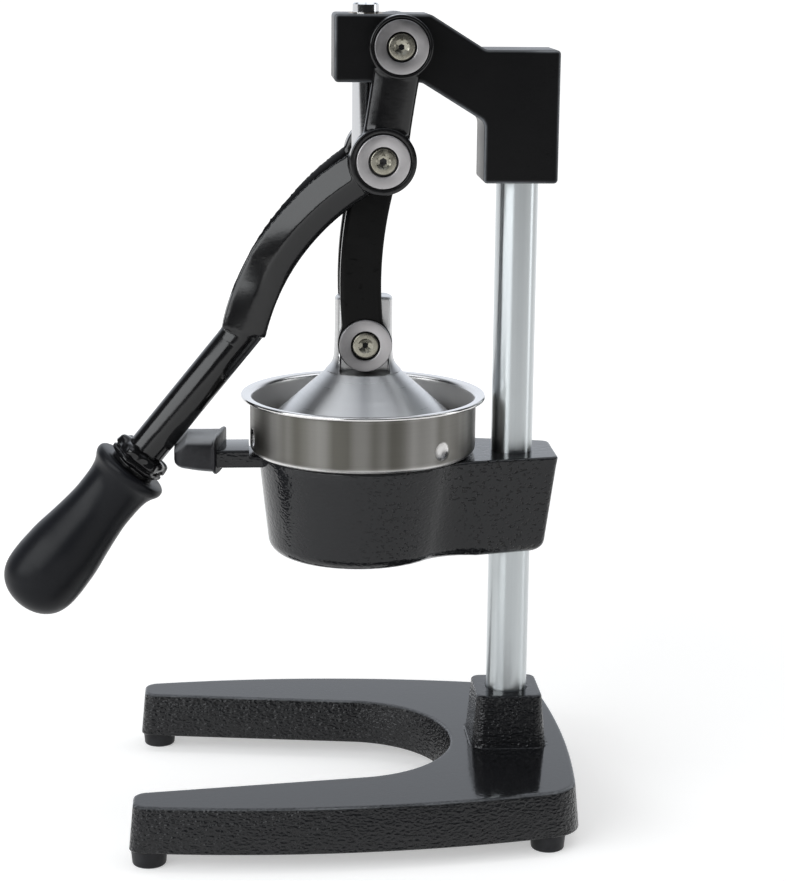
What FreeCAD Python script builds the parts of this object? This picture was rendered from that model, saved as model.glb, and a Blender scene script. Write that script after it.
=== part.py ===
import FreeCAD, Part
import math
import os

import Sketcher
from FreeCAD import Placement, Rotation, Vector

# A lever citrus press. The press axis is vertical; heights are above the surface that it stands on.
# X runs from the lever grip (negative) to the column (positive), and near is the -Y side.
# Places along X are measured from the press axis, which lies press_axis_x from the origin.

doc = FreeCAD.newDocument("CitrusPress")
sheet = doc.addObject("Spreadsheet::Sheet", "Sizes")

driving_sizes = [
    ("press_axis_x", 37.5, "press axis, from the middle of the footprint"),
    ("running_gap", 0.05, "radial clearance of a turning or sliding fit"),
    ("thread_gap", 0.05, "radial clearance of a screw in its hole"),
    ("seat_gap", 0.05, "play between pieces that rest on each other"),
    ("side_gap", 0.3, "room between faces that pass each other"),
    ("hole_spare", 1.0, "spare depth of a blind hole"),
    # Base casting
    ("foot_height", 9.0, "height of the rubber feet"),
    ("base_height", 23.0, "height of the base's rim"),
    ("base_draft_angle", 5.0, "draft of the base's sides, degrees"),
    ("base_wall", 6.0, "wall of the hollow underside"),
    ("base_roof", 7.0, "thickness under the base's top face"),
    ("prong_reach", 115.0, "prong tips, ahead of the press axis"),
    ("prong_taper", 4.8, "prong tips, inside the largest half width"),
    ("base_half_width", 95.8, "largest half width of the base"),
    ("base_widest_x", -38.0, "where the base is widest"),
    ("side_end_run", 12.5, "where the sides turn into the rear corners, behind the column"),
    ("side_end_taper", 14.1, "half width there, inside the largest"),
    ("rear_corner_run", 22.3, "middle of the round rear corners, behind the column"),
    ("rear_corner_taper", 19.2, "half width there, inside the largest"),
    ("rear_end_run", 27.2, "where the rear corners turn into the rear edge, behind the column"),
    ("rear_end_taper", 29.8, "half width there, inside the largest"),
    ("rear_run", 30.6, "middle of the rear edge, behind the column"),
    ("tip_round", 6.0, "rounding of the prong tips"),
    ("prong_width", 20.5, "width of a prong's tip"),
    ("slot_arc_x", -1.7, "where the slot's round end begins"),
    ("slot_taper", 15.0, "how far the slot narrows to its round end, each side"),
    ("slot_back_x", 47.0, "back of the slot's round end"),
    # Boss for the column
    ("boss_top", 59.7, "top of the column boss"),
    ("boss_length", 34.0, "boss, along X at its top"),
    ("boss_width", 35.6, "boss, along Y at its top"),
    ("boss_draft_angle", 4.5, "draft of the boss, degrees"),
    ("boss_round", 4.5, "rounding of the boss's corners"),
    ("boss_core_dia", 44.0, "core under the boss, inside the base"),
    ("boss_floor", 5.5, "floor under the column's end"),
    # Feet
    ("foot_dia", 18.0, "foot, at its top"),
    ("foot_toe_dia", 16.4, "foot, at the floor"),
    ("foot_front_x", -107.5, "front feet"),
    ("foot_front_inset", 8.5, "front feet, inside the prong tips' half width"),
    ("foot_rear_run", 13.0, "rear feet, behind the column"),
    ("foot_rear_inset", 8.7, "rear feet, inside the sides' half width"),
    ("foot_pocket_depth", 4.8, "screw pocket in a foot"),
    ("foot_pocket_gap", 0.5, "room round the screw's head"),
    ("foot_screw_dia", 5.0, "foot screw's shank"),
    ("foot_screw_head_dia", 9.5, "foot screw's head"),
    ("foot_screw_head", 3.6, "height of the foot screw's head"),
    ("foot_screw_bite", 9.0, "foot screw's length in the base"),
    ("foot_boss_dia", 17.0, "boss over each foot"),
    # Column and its bolt
    ("column_gap", 3.8, "room between the cup's rim and the column"),
    ("column_dia", 21.0, "column"),
    ("column_cover", 9.9, "head above the column's end"),
    ("bolt_dia", 10.0, "bolt under the column"),
    ("bolt_bite", 24.0, "bolt's length in the column"),
    ("bolt_head_flats", 16.0, "bolt head, across its flats"),
    ("bolt_head", 6.0, "height of the bolt's head"),
    ("bolt_washer_dia", 26.0, "washer under the bolt's head"),
    ("bolt_washer", 2.0, "thickness of that washer"),
    ("bolt_clear", 1.0, "bolt's head above the base's rim"),
    # Head casting
    ("head_width", 35.0, "head, along Y"),
    ("head_top", 404.5, "top of the head's nose"),
    ("head_front", 16.0, "nose, ahead of the press axis"),
    ("nose_height", 32.5, "height of the nose"),
    ("nose_back_x", 26.5, "end of the nose's underside"),
    ("throat_drop", 51.2, "lower end of the underside's slope, below the top"),
    ("socket_front_run", 18.8, "front of the column socket, ahead of the column"),
    ("head_height", 81.1, "height of the head, from top to socket"),
    ("head_back_run", 17.9, "back of the head, behind the column"),
    ("crown_drop", 16.6, "top of the head's back end, below the nose's"),
    ("crown_back_run", 18.5, "lower end of the top's slope, ahead of the column"),
    ("crown_front_x", 30.5, "upper end of the top's slope"),
    ("head_corner_round", 2.0, "rounding of the head's square corners"),
    ("head_bend_round", 5.0, "rounding where the head bends"),
    ("head_edge_round", 1.8, "rounding of the head's side edges"),
    # Press rod and its bush
    ("rod_dia", 13.0, "guide rod"),
    ("rod_stand_out", 4.9, "rod above the head"),
    ("rod_chamfer", 0.8, "chamfer on the rod's top"),
    ("bush_wall", 2.0, "wall of the guide bush"),
    ("stud_dia", 8.0, "stud at the rod's lower end"),
    ("stud_length", 14.0, "length of that stud"),
    # Pivots: the head pivot, the elbow between lever and links, the dome pivot
    ("head_pivot_x", 15.5, "head pivot"),
    ("head_pivot_drop", 15.0, "head pivot, below the head's top"),
    ("crank_length", 55.1, "head pivot to elbow"),
    ("crank_angle", 8.56, "crank from straight down, degrees"),
    ("link_length", 92.1, "elbow to dome pivot"),
    ("disc_dia", 26.0, "flange of a pivot bush"),
    ("disc_thick", 2.4, "thickness of that flange"),
    ("disc_edge_round", 0.5, "rounding of the flange's edge"),
    ("sleeve_dia", 18.0, "sleeve of a pivot bush"),
    ("screw_dia", 8.0, "pivot screw's shank"),
    ("screw_head_dia", 13.0, "pivot screw's head"),
    ("screw_head", 8.0, "height of the pivot screw's head"),
    ("screw_socket", 6.0, "hexagon socket, across its flats"),
    ("screw_socket_depth", 4.0, "depth of the hexagon socket"),
    ("screw_pocket_dia", 14.6, "pocket for the screw's head"),
    ("screw_sunk", 0.8, "screw head below the flange's face"),
    ("screw_bite", 12.0, "pivot screw's length in the head"),
    ("dome_screw_bite", 6.6, "pivot screw's length in the dome's neck"),
    # Lever fork
    ("arm_thick", 10.0, "thickness of each fork arm"),
    ("arm_width", 21.5, "width of the fork arms, seen from the side"),
    ("crank_width", 22.0, "width between the pivots, seen from the side"),
    ("arm_bow_x", -35.8, "middle of the arm's bend"),
    ("arm_bow_drop", 36.01, "middle of the arm's bend, below the elbow"),
    ("arm_bow_angle", 57.0, "arm below the horizontal at its bend, degrees"),
    ("mitre_angle", 83.0, "fork above its mitred root, degrees"),
    ("root_x", -60.0, "where the fork meets the bar"),
    ("root_drop", 87.11, "where the fork meets the bar, below the elbow"),
    ("root_width", 20.4, "width of the fork's root, along Y"),
    ("spread_x", -12.0, "where the arms begin to draw together"),
    ("root_start_x", -56.0, "where the arms have drawn together"),
    ("crotch_x", -49.0, "end of the gap between the arms"),
    ("crotch_width", 7.0, "width of the gap at its end"),
    ("head_boss_dia", 30.5, "boss at the head pivot"),
    ("elbow_boss_dia", 32.5, "boss at the elbow"),
    ("boss_lip", 1.5, "height of the lip round a flange"),
    ("lip_gap", 0.5, "room between a flange and its lip"),
    ("elbow_pad_dia", 24.0, "pad inside the elbow, towards the link"),
    # Links
    ("link_thick", 8.0, "thickness of each link"),
    ("link_width", 19.0, "width of a link"),
    ("link_bow_x", -2.4, "middle of the link's bend"),
    ("link_bow_rise", 43.8, "middle of the link's bend, above the dome pivot"),
    ("link_foot_dia", 27.0, "eye on the dome pivot"),
    ("link_top_dia", 23.0, "eye at the elbow"),
    ("link_pin_dia", 12.0, "bush in the elbow's eye"),
    # Bar and grip
    ("bar_angle", 51.0, "bar below the horizontal, degrees"),
    ("bar_dia", 19.0, "lever bar"),
    ("bar_length", 79.5, "bare length of the bar"),
    ("spigot_dia", 11.0, "spigot in the fork's root"),
    ("spigot_length", 10.0, "length of that spigot"),
    ("bar_thread_dia", 16.0, "threaded end of the bar"),
    ("bar_thread_bite", 58.0, "threaded length inside the grip"),
    ("nut_flats", 27.0, "grip nut, across its flats"),
    ("nut_height", 8.0, "height of the grip nut"),
    ("grip_washer_dia", 24.0, "washer under the grip"),
    ("grip_washer_thick", 2.0, "thickness of that washer"),
    ("collar_dia", 39.4, "collar at the grip's upper end"),
    ("collar_length", 10.0, "length of the collar"),
    ("collar_round", 2.5, "rounding of the collar's edges"),
    ("neck_in_dia", 36.4, "grip where the collar ends"),
    ("waist_dia", 31.5, "waist of the grip"),
    ("waist_at", 22.0, "waist, from the grip's upper end"),
    ("shoulder_dia", 35.4, "grip where the waist becomes the swell"),
    ("shoulder_at", 43.0, "end of the waist, from the upper end"),
    ("swell_dia", 40.4, "swell of the grip"),
    ("swell_at", 66.0, "swell, from the grip's upper end"),
    ("nose_dia", 35.0, "grip where its end begins"),
    ("nose_at", 84.0, "beginning of the grip's end"),
    ("tip_dia", 13.0, "flat at the grip's end"),
    ("tip_bulge_dia", 28.0, "middle of the end's curve"),
    ("tip_bulge_at", 89.2, "middle of the end's curve"),
    ("grip_length", 92.0, "length of the grip"),
    # Press dome
    ("neck_dia", 28.8, "neck of the dome"),
    ("neck_thick", 15.0, "neck between its flats"),
    ("neck_rise", 22.8, "top of the neck, above the dome pivot"),
    ("dome_rim_drop", 41.4, "rim of the dome, below the dome pivot"),
    ("cone_angle", 48.5, "cone from the vertical, degrees"),
    ("flat_room", 4.2, "room under a link's eye on the neck's flats"),
    ("dome_dia", 97.0, "dome at its rim"),
    ("dome_wall", 4.0, "wall of the dome"),
    ("dome_roof", 3.4, "dome between its hollow and the neck's flats"),
    # Cup and strainer
    ("cup_dia", 114.0, "cup"),
    ("cup_wall", 1.2, "wall of the cup"),
    ("rim_width", 4.7, "rim, beyond the cup"),
    ("rim_rise", 20.7, "top of the rim, above the dimples"),
    ("rim_lip", 2.2, "height of the rim's rolled edge"),
    ("cup_corner", 4.0, "rounding of the cup's lower corner"),
    ("funnel_room", 4.0, "room between the funnel and the bracket's bowl"),
    ("funnel_height", 35.5, "height of the cup's funnel"),
    ("spout_dia", 24.0, "spout"),
    ("spout_length", 24.0, "length of the spout"),
    ("dimple_dia", 7.0, "dimples that carry the strainer"),
    ("dimple_depth", 3.0, "how far the dimples reach in"),
    ("dome_rest_gap", 1.25, "room between the dome's rim and the strainer"),
    ("dimple_angle", -50.0, "direction of the first dimple, degrees"),
    ("dimple_hollow", 1.6, "depth of the hollow outside a dimple"),
    ("dimple_ball_dia", 10.5, "ball that presses that hollow"),
    ("strainer_wall", 1.5, "wall of the strainer"),
    ("strainer_gap", 1.5, "room between strainer and dome"),
    ("strainer_rim_gap", 1.0, "room between strainer and cup"),
    ("drain_width", 2.4, "width of a drain slot"),
    ("drain_count", 12, "drain slots"),
    ("drain_start_gap", 3.5, "inner end of a drain slot, from the strainer's cap"),
    ("drain_end_gap", 3.6, "outer end of a drain slot, from the cone's foot"),
    # Cup bracket
    ("cup_floor_drop", 9.0, "cup's floor, below the dimples"),
    ("bracket_height", 52.0, "height of the bracket"),
    ("bracket_draft_angle", 6.5, "draft of the bracket, degrees"),
    ("bowl_dia", 106.0, "bowl of the bracket, at its top"),
    ("bowl_wall", 6.0, "wall of the bowl"),
    ("bowl_floor", 8.0, "floor of the bowl"),
    ("bowl_hole_dia", 40.0, "hole in the bowl's floor"),
    ("bowl_end_x", 38.5, "where the bowl's round ends"),
    ("cheek_x", 46.5, "middle of the curve from bowl to arm"),
    ("cheek_half", 30.6, "half width there"),
    ("bracket_arm_run", 19.0, "where the bracket's arm begins, ahead of the column"),
    ("bracket_arm_half", 27.2, "half width where the arm begins"),
    ("bracket_end_run", 21.6, "end of the arm, behind the column"),
    ("bracket_end_half", 19.2, "half width at the arm's end"),
    ("bracket_end_round", 4.0, "rounding of the arm's corners"),
    ("bracket_foot_round", 7.0, "rounding of the bracket's lower edge"),
    # Rest for the lever
    ("rest_half_width", 13.5, "half width of the lever rest"),
    ("rest_drop", 6.0, "underside of the lever rest, below the bracket's top"),
    ("rest_rise", 3.0, "top of the lever rest, above the bracket's top"),
    ("rest_clear", 0.6, "where the rest steps up, clear of the cup"),
    ("rest_end_x", -88.0, "end of the lever rest"),
    ("bumper_end_x", -95.0, "end of the rubber bumper"),
    ("bumper_start_x", -69.0, "beginning of the rubber bumper"),
    ("bumper_wall", 3.0, "wall of the bumper"),
    ("bumper_rise", 9.0, "top of the bumper, above the bracket's top"),
    ("bumper_slope", 6.4, "sloped corner under the bar"),
    ("bumper_round", 2.5, "rounding of the bumper's long edges"),
    # Set screws
    ("set_screw_dia", 6.0, "set screws"),
    ("set_screw_spread", 26.0, "distance between a pair of set screws"),
    ("set_screw_sunk", 0.6, "set screws below the face"),
    ("set_screw_socket", 3.0, "their hexagon sockets, across the flats"),
    ("set_screw_socket_depth", 3.0, "depth of those sockets"),
    ("bracket_screw_inset", 3.0, "draft of the bracket's end at its set screws"),
    ("head_screw_rise", 17.6, "lower set screw, above the socket's bottom"),
    ("bracket_screw_rise", 12.5, "lower set screw, above the bracket's bottom"),
]

for row, (alias, number, note) in enumerate(driving_sizes, start=1):
    sheet.set(f"A{row}", note)
    sheet.set(f"B{row}", str(number))
    sheet.setAlias(f"B{row}", alias)
doc.recompute()


# A size is an expression on the sheet together with its present value.
class Size:
    def __init__(self, text, value):
        self.text = text
        self.value = value

    def __add__(self, other):
        other = as_size(other)
        return Size(f"({self.text} + {other.text})", self.value + other.value)

    def __sub__(self, other):
        other = as_size(other)
        return Size(f"({self.text} - {other.text})", self.value - other.value)

    def __mul__(self, other):
        other = as_size(other)
        return Size(f"({self.text} * {other.text})", self.value * other.value)

    def __truediv__(self, other):
        other = as_size(other)
        return Size(f"({self.text} / {other.text})", self.value / other.value)

    def __neg__(self):
        return Size(f"(0 - {self.text})", -self.value)

    def __radd__(self, other):
        return as_size(other) + self

    def __rsub__(self, other):
        return as_size(other) - self

    def __rmul__(self, other):
        return as_size(other) * self


def as_size(number):
    return number if isinstance(number, Size) else Size(repr(float(number)), float(number))


def root(size):
    return Size(f"sqrt({size.text})", math.sqrt(size.value))


def sine(angle):
    return Size(f"sin({angle.text})", math.sin(math.radians(angle.value)))


def cosine(angle):
    return Size(f"cos({angle.text})", math.cos(math.radians(angle.value)))


def tangent(angle):
    return Size(f"tan({angle.text})", math.tan(math.radians(angle.value)))


class Sizes:
    def __getattr__(self, alias):
        return Size(f"Sizes.{alias}", float(sheet.get(alias)))


size = Sizes()


# Bind a property to a size.
def tie(item, name, value):
    item.setExpression(name, as_size(value).text)


# Sketch corners: sharp, rounded, or followed by an arc through a further point.
class Corner:
    def __init__(self, x, y, rounding=None, via=None):
        self.x = as_size(x)
        self.y = as_size(y)
        self.point = Vector(self.x.value, self.y.value, 0)
        self.rounding = rounding
        self.via = None if via is None else Corner(*via)


def new_body(name):
    return doc.addObject("PartDesign::Body", name)


def new_sketch(body, name, plane, offset=None):
    sketch = body.newObject("Sketcher::SketchObject", f"{body.Name}_{name}")
    support = next(item for item in body.Origin.OriginFeatures if item.Role == plane)
    sketch.AttachmentSupport = (support, "")
    sketch.MapMode = "FlatFace"
    if offset is not None:
        tie(sketch, "AttachmentOffset.Base.z", offset)
    return sketch


def constrain(sketch, value, *parts):
    index = sketch.addConstraint(Sketcher.Constraint(*parts, as_size(value).value))
    if isinstance(value, Size):
        tie(sketch, f"Constraints[{index}]", value)


def pin(sketch, item, end, corner):
    constrain(sketch, corner.x, "DistanceX", item, end)
    constrain(sketch, corner.y, "DistanceY", item, end)


def pinned_point(sketch, corner, curves):
    mark = sketch.addGeometry(Part.Point(corner.point), True)
    pin(sketch, mark, 1, corner)
    for curve in curves:
        sketch.addConstraint(Sketcher.Constraint("PointOnObject", mark, 1, curve))


# An arc from first to last, with the numbers of its ends, because arcs run anticlockwise.
def arc_between(sketch, first, middle, last):
    circle = Part.Circle(first, middle, last)
    centre = circle.Center
    bend = (middle - first).cross(last - middle).z
    start, stop = (first, last) if bend > 0 else (last, first)
    angles = [math.atan2(point.y - centre.y, point.x - centre.x) for point in (start, stop)]
    upright = Part.Circle(centre, Vector(0, 0, 1), circle.Radius)
    item = sketch.addGeometry(Part.ArcOfCircle(upright, angles[0], angles[1]))
    return item, (1, 2) if bend > 0 else (2, 1)


def draw_outline(sketch, corners):
    starts = []
    stops = []
    for index, corner in enumerate(corners):
        before = (corners[index - 1].point - corner.point).normalize()
        after = (corners[(index + 1) % len(corners)].point - corner.point).normalize()
        run = 0
        if corner.rounding is not None:
            run = corner.rounding.value / math.tan(before.getAngle(after) / 2)
        starts.append(corner.point + before * run)
        stops.append(corner.point + after * run)
    runs = []
    for index, corner in enumerate(corners):
        first = stops[index]
        last = starts[(index + 1) % len(corners)]
        if corner.via is None:
            runs.append((sketch.addGeometry(Part.LineSegment(first, last)), (1, 2)))
        else:
            runs.append(arc_between(sketch, first, corner.via.point, last))
            pinned_point(sketch, corner.via, [runs[-1][0]])
    for index, corner in enumerate(corners):
        side_in, (_, end_in) = runs[index - 1]
        side_out, (end_out, _) = runs[index]
        if corner.rounding is None:
            sketch.addConstraint(Sketcher.Constraint("Coincident", side_in, end_in, side_out, end_out))
            pin(sketch, side_out, end_out, corner)
            continue
        toward = (starts[index] + stops[index]) / 2 - corner.point
        reach = corner.rounding.value / math.sin((starts[index] - corner.point).getAngle(toward))
        middle = corner.point + toward.normalize() * (reach - corner.rounding.value)
        bend, (bend_in, bend_out) = arc_between(sketch, starts[index], middle, stops[index])
        sketch.addConstraint(Sketcher.Constraint("Tangent", side_in, end_in, bend, bend_in))
        sketch.addConstraint(Sketcher.Constraint("Tangent", side_out, end_out, bend, bend_out))
        constrain(sketch, corner.rounding, "Radius", bend)
        pinned_point(sketch, corner, [side_in, side_out])


def draw_circle(sketch, x, y, radius):
    corner = Corner(x, y)
    item = sketch.addGeometry(Part.Circle(corner.point, Vector(0, 0, 1), radius.value))
    pin(sketch, item, 3, corner)
    constrain(sketch, radius, "Radius", item)


def hexagon(flats):
    reach = flats / math.sqrt(3)
    angles = [math.radians(60 * step) for step in range(6)]
    return [Corner(reach * math.cos(angle), reach * math.sin(angle)) for angle in angles]


# An outline from its -Y half, closed by an arc through a last point.
def mirrored_outline(half, closing_via):
    vias = [closing_via] + [None if corner.via is None else (corner.via.x, -corner.via.y)
                            for corner in half[:-1]]
    rest = [Corner(corner.x, -corner.y, corner.rounding, via) for corner, via in zip(half, vias)]
    return half + rest[::-1]


def extrude(body, kind, sketch, length, both=False, flip=False):
    solid = body.newObject(f"PartDesign::{kind}", f"{sketch.Name}_{kind}")
    solid.Profile = sketch
    solid.SideType = "Symmetric" if both else "One side"
    solid.Reversed = flip
    tie(solid, "Length", length)
    return solid


def pad(body, sketch, length, **options):
    return extrude(body, "Pad", sketch, length, **options)


# A drafted block between level outlines, each given with its height.
def loft(body, name, levels):
    sketches = []
    for index, (height, outline) in enumerate(levels):
        sketches.append(new_sketch(body, f"{name}_{index}", "XY_Plane", height))
        draw_outline(sketches[-1], outline)
    solid = body.newObject("PartDesign::AdditiveLoft", f"{body.Name}_{name}_loft")
    solid.Profile = sketches[0]
    solid.Sections = sketches[1:]
    solid.Ruled = True
    return solid


# A pocket has to take material away, so the volume before and after is compared.
def pocket(body, sketch, length, **options):
    doc.recompute()
    before = body.Shape.Volume
    solid = extrude(body, "Pocket", sketch, length, **options)
    doc.recompute()
    if not body.Shape.Volume < before:
        raise RuntimeError(f"{solid.Name} cuts nothing")
    return solid


def turn(body, sketch, kind="Revolution"):
    solid = body.newObject(f"PartDesign::{kind}", f"{sketch.Name}_{kind}")
    solid.Profile = sketch
    solid.ReferenceAxis = (sketch, ["V_Axis"])
    solid.Angle = 360
    return solid


def round_edges(body, feature, radius, wanted):
    doc.recompute()
    names = [f"Edge{index}" for index, edge in enumerate(feature.Shape.Edges, start=1) if wanted(edge)]
    solid = body.newObject("PartDesign::Fillet", f"{feature.Name}_round")
    solid.Base = (feature, names)
    tie(solid, "Radius", radius)
    return solid


def turned_body(name, profile):
    body = new_body(name)
    sketch = new_sketch(body, "profile", "XZ_Plane")
    draw_outline(sketch, profile)
    turn(body, sketch)
    return body


# Put a piece at a place given from the press axis, turned about an axis if need be.
def place(item, x=0, y=0, z=0, axis=Vector(0, 0, 1), angle=0):
    item.Placement = Placement(Vector(0, 0, 0), Rotation(axis, as_size(angle).value))
    tie(item, "Placement.Base.x", size.press_axis_x + x)
    tie(item, "Placement.Base.y", y)
    tie(item, "Placement.Base.z", z)
    if isinstance(angle, Size):
        tie(item, "Placement.Rotation.Angle", angle)
    return item


# Pieces on the near side point towards -Y and those on the far side towards +Y.
sides = {"near": -1, "far": 1}
across = Vector(1, 0, 0)
along = Vector(0, 1, 0)
outward_turn = {"near": 90, "far": -90}

nodes = {}


def keep(name, item):
    item.Label = name
    nodes[name] = item


def keep_group(name, items):
    group = doc.addObject("Part::Compound", f"{name}_group")
    group.Links = items
    keep(name, group)


# How far a rounded square corner draws in along each side, as a share of its radius
corner_trim = 1 - math.sqrt(0.5)

# The column stands clear of the cup's rim; base, head and bracket follow the column
rim_dia = size.cup_dia + 2 * size.rim_width
column_x = rim_dia / 2 + size.column_gap + size.column_dia / 2
head_back_x = column_x + size.head_back_run
bracket_end_x = column_x + size.bracket_end_run
foot_rear_x = column_x + size.foot_rear_run

# Places that several pieces share
base_top = size.foot_height + size.base_height
core_bottom = size.foot_height + size.bolt_clear + size.bolt_head + size.bolt_washer
column_bottom = core_bottom + size.boss_floor
bore_dia = size.column_dia + 2 * size.running_gap
prong_half_width = size.base_half_width - size.prong_taper
side_end_half = size.base_half_width - size.side_end_taper
slot_half_width = prong_half_width - size.prong_width

# The head hangs from its top, the linkage from the head's pivot, the dome from the linkage
nose_bottom = size.head_top - size.nose_height
socket_bottom = size.head_top - size.head_height
head_back_top = size.head_top - size.crown_drop
column_top = head_back_top - size.column_cover
head_pivot_z = size.head_top - size.head_pivot_drop
elbow_x = size.head_pivot_x - size.crank_length * sine(size.crank_angle)
elbow_z = head_pivot_z - size.crank_length * cosine(size.crank_angle)
root_z = elbow_z - size.root_drop
dome_pivot_z = elbow_z - root(size.link_length * size.link_length - elbow_x * elbow_x)
neck_top = dome_pivot_z + size.neck_rise
flat_bottom = dome_pivot_z - size.link_foot_dia / 2 - size.flat_room

# The strainer follows the dome's hollow, and the cup and bracket carry the strainer
cone_run = tangent(size.cone_angle)
dome_rim_z = dome_pivot_z - size.dome_rim_drop
cone_top = dome_rim_z + (size.dome_dia - size.neck_dia) / 2 / cone_run
hollow_rim = size.dome_dia / 2 - size.dome_wall / cosine(size.cone_angle)
hollow_top = flat_bottom - size.dome_roof
dome_peak = hollow_rim - (hollow_top - dome_rim_z) * cone_run
flange_z = dome_rim_z - size.dome_rest_gap - size.strainer_wall
dimple_z = flange_z - size.seat_gap - size.dimple_dia / 2
rim_top = dimple_z + size.rim_rise
bracket_top = dimple_z - size.cup_floor_drop
bracket_bottom = bracket_top - size.bracket_height
rest_bottom = bracket_top - size.rest_drop
rest_top = bracket_top + size.rest_rise

# Faces across the press, from the middle outwards
arm_inner = size.head_width / 2 + size.side_gap
arm_outer = arm_inner + size.arm_thick
link_inner = size.neck_thick / 2 + size.side_gap
link_outer = link_inner + size.link_thick
elbow_inner = link_outer + size.side_gap
sleeve_bore = size.sleeve_dia + 2 * size.running_gap
screw_bore = size.screw_dia + 2 * size.thread_gap
flange_gap = 2 * size.seat_gap
mitre_turn = size.mitre_angle - size.bar_angle
mitre_rise = size.bar_dia / 2 * tangent(mitre_turn)
foot_front_y = prong_half_width - size.foot_front_inset
foot_rear_y = side_end_half - size.foot_rear_inset
feet = {
    "front_near": (size.foot_front_x, -foot_front_y),
    "front_far": (size.foot_front_x, foot_front_y),
    "rear_near": (foot_rear_x, -foot_rear_y),
    "rear_far": (foot_rear_x, foot_rear_y),
}


# Base casting: a drafted horseshoe with a hollow underside and a boss for the column
def make_base():
    body = new_body("base")

    def horseshoe(inset):
        front_x = inset - size.prong_reach
        outer = inset - prong_half_width
        inner = -inset - slot_half_width
        side_end_x = column_x + size.side_end_run - inset
        rear_corner_x = column_x + size.rear_corner_run - inset
        rear_end_x = column_x + size.rear_end_run - inset
        rear_x = column_x + size.rear_run - inset
        rear_corner_half = size.base_half_width - size.rear_corner_taper
        rear_end_half = size.base_half_width - size.rear_end_taper
        tip = size.tip_round
        trim = tip * corner_trim
        near_half = [
            Corner(size.slot_arc_x, inner + size.slot_taper),
            Corner(front_x + tip, inner, via=(front_x + trim, inner - trim)),
            Corner(front_x, inner - tip),
            Corner(front_x, outer + tip, via=(front_x + trim, outer + trim)),
            Corner(front_x + tip, outer, via=(size.base_widest_x, inset - size.base_half_width)),
            Corner(side_end_x, inset - side_end_half,
                   via=(rear_corner_x, inset - rear_corner_half)),
            Corner(rear_end_x, inset - rear_end_half, via=(rear_x, 0)),
        ]
        return mirrored_outline(near_half, (size.slot_back_x + inset, 0))

    loft(body, "plate", [
        (size.foot_height, horseshoe(-size.base_height * tangent(size.base_draft_angle))),
        (base_top, horseshoe(0)),
    ])

    sketch = new_sketch(body, "hollow", "XY_Plane", size.foot_height)
    draw_outline(sketch, horseshoe(size.base_wall))
    pocket(body, sketch, size.base_height - size.base_roof, flip=True)

    sketch = new_sketch(body, "foot_bosses", "XY_Plane", size.foot_height)
    for x, y in feet.values():
        draw_circle(sketch, x, y, size.foot_boss_dia / 2)
    pad(body, sketch, size.base_height - size.base_roof / 2)

    sketch = new_sketch(body, "core", "XY_Plane", core_bottom)
    draw_circle(sketch, column_x, 0, size.boss_core_dia / 2)
    pad(body, sketch, base_top - size.base_roof / 2 - core_bottom)

    def boss(spread):
        return [
            Corner(column_x + run * (size.boss_length / 2 + spread),
                   side * (size.boss_width / 2 + spread), size.boss_round + spread)
            for run, side in ((-1, -1), (1, -1), (1, 1), (-1, 1))
        ]

    boss_bottom = base_top - size.base_roof / 2
    loft(body, "boss", [
        (boss_bottom, boss((size.boss_top - boss_bottom) * tangent(size.boss_draft_angle))),
        (size.boss_top, boss(0)),
    ])

    sketch = new_sketch(body, "column_bore", "XY_Plane", column_bottom)
    draw_circle(sketch, column_x, 0, bore_dia / 2)
    pocket(body, sketch, size.boss_top - column_bottom, flip=True)

    sketch = new_sketch(body, "bolt_hole", "XY_Plane", core_bottom)
    draw_circle(sketch, column_x, 0, size.bolt_dia / 2 + size.thread_gap)
    pocket(body, sketch, size.boss_floor, flip=True)

    sketch = new_sketch(body, "foot_holes", "XY_Plane", size.foot_height)
    for x, y in feet.values():
        draw_circle(sketch, x, y, size.foot_screw_dia / 2 + size.thread_gap)
    pocket(body, sketch, size.foot_screw_bite + size.hole_spare, flip=True)
    keep("base_casting", place(body))


# Rubber feet, each with a screw in a pocket from below
def make_feet():
    screws = []
    pocket_roof = size.foot_pocket_depth
    hole = size.foot_screw_dia / 2 + size.thread_gap
    pocket_side = size.foot_screw_head_dia / 2 + size.foot_pocket_gap
    seat = pocket_roof - size.foot_screw_head
    for name, (x, y) in feet.items():
        foot = turned_body(f"foot_{name}", [
            Corner(pocket_side, 0),
            Corner(size.foot_toe_dia / 2, 0),
            Corner(size.foot_dia / 2, size.foot_height),
            Corner(hole, size.foot_height),
            Corner(hole, pocket_roof),
            Corner(pocket_side, pocket_roof),
        ])
        keep(f"foot_{name}", place(foot, x, y))
        screw = turned_body(f"foot_screw_{name}", [
            Corner(0, seat),
            Corner(size.foot_screw_head_dia / 2, seat),
            Corner(size.foot_screw_head_dia / 2, pocket_roof),
            Corner(size.foot_screw_dia / 2, pocket_roof),
            Corner(size.foot_screw_dia / 2, size.foot_height + size.foot_screw_bite),
            Corner(0, size.foot_height + size.foot_screw_bite),
        ])
        screws.append(place(screw, x, y))
    keep_group("foot_screws", screws)


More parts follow.
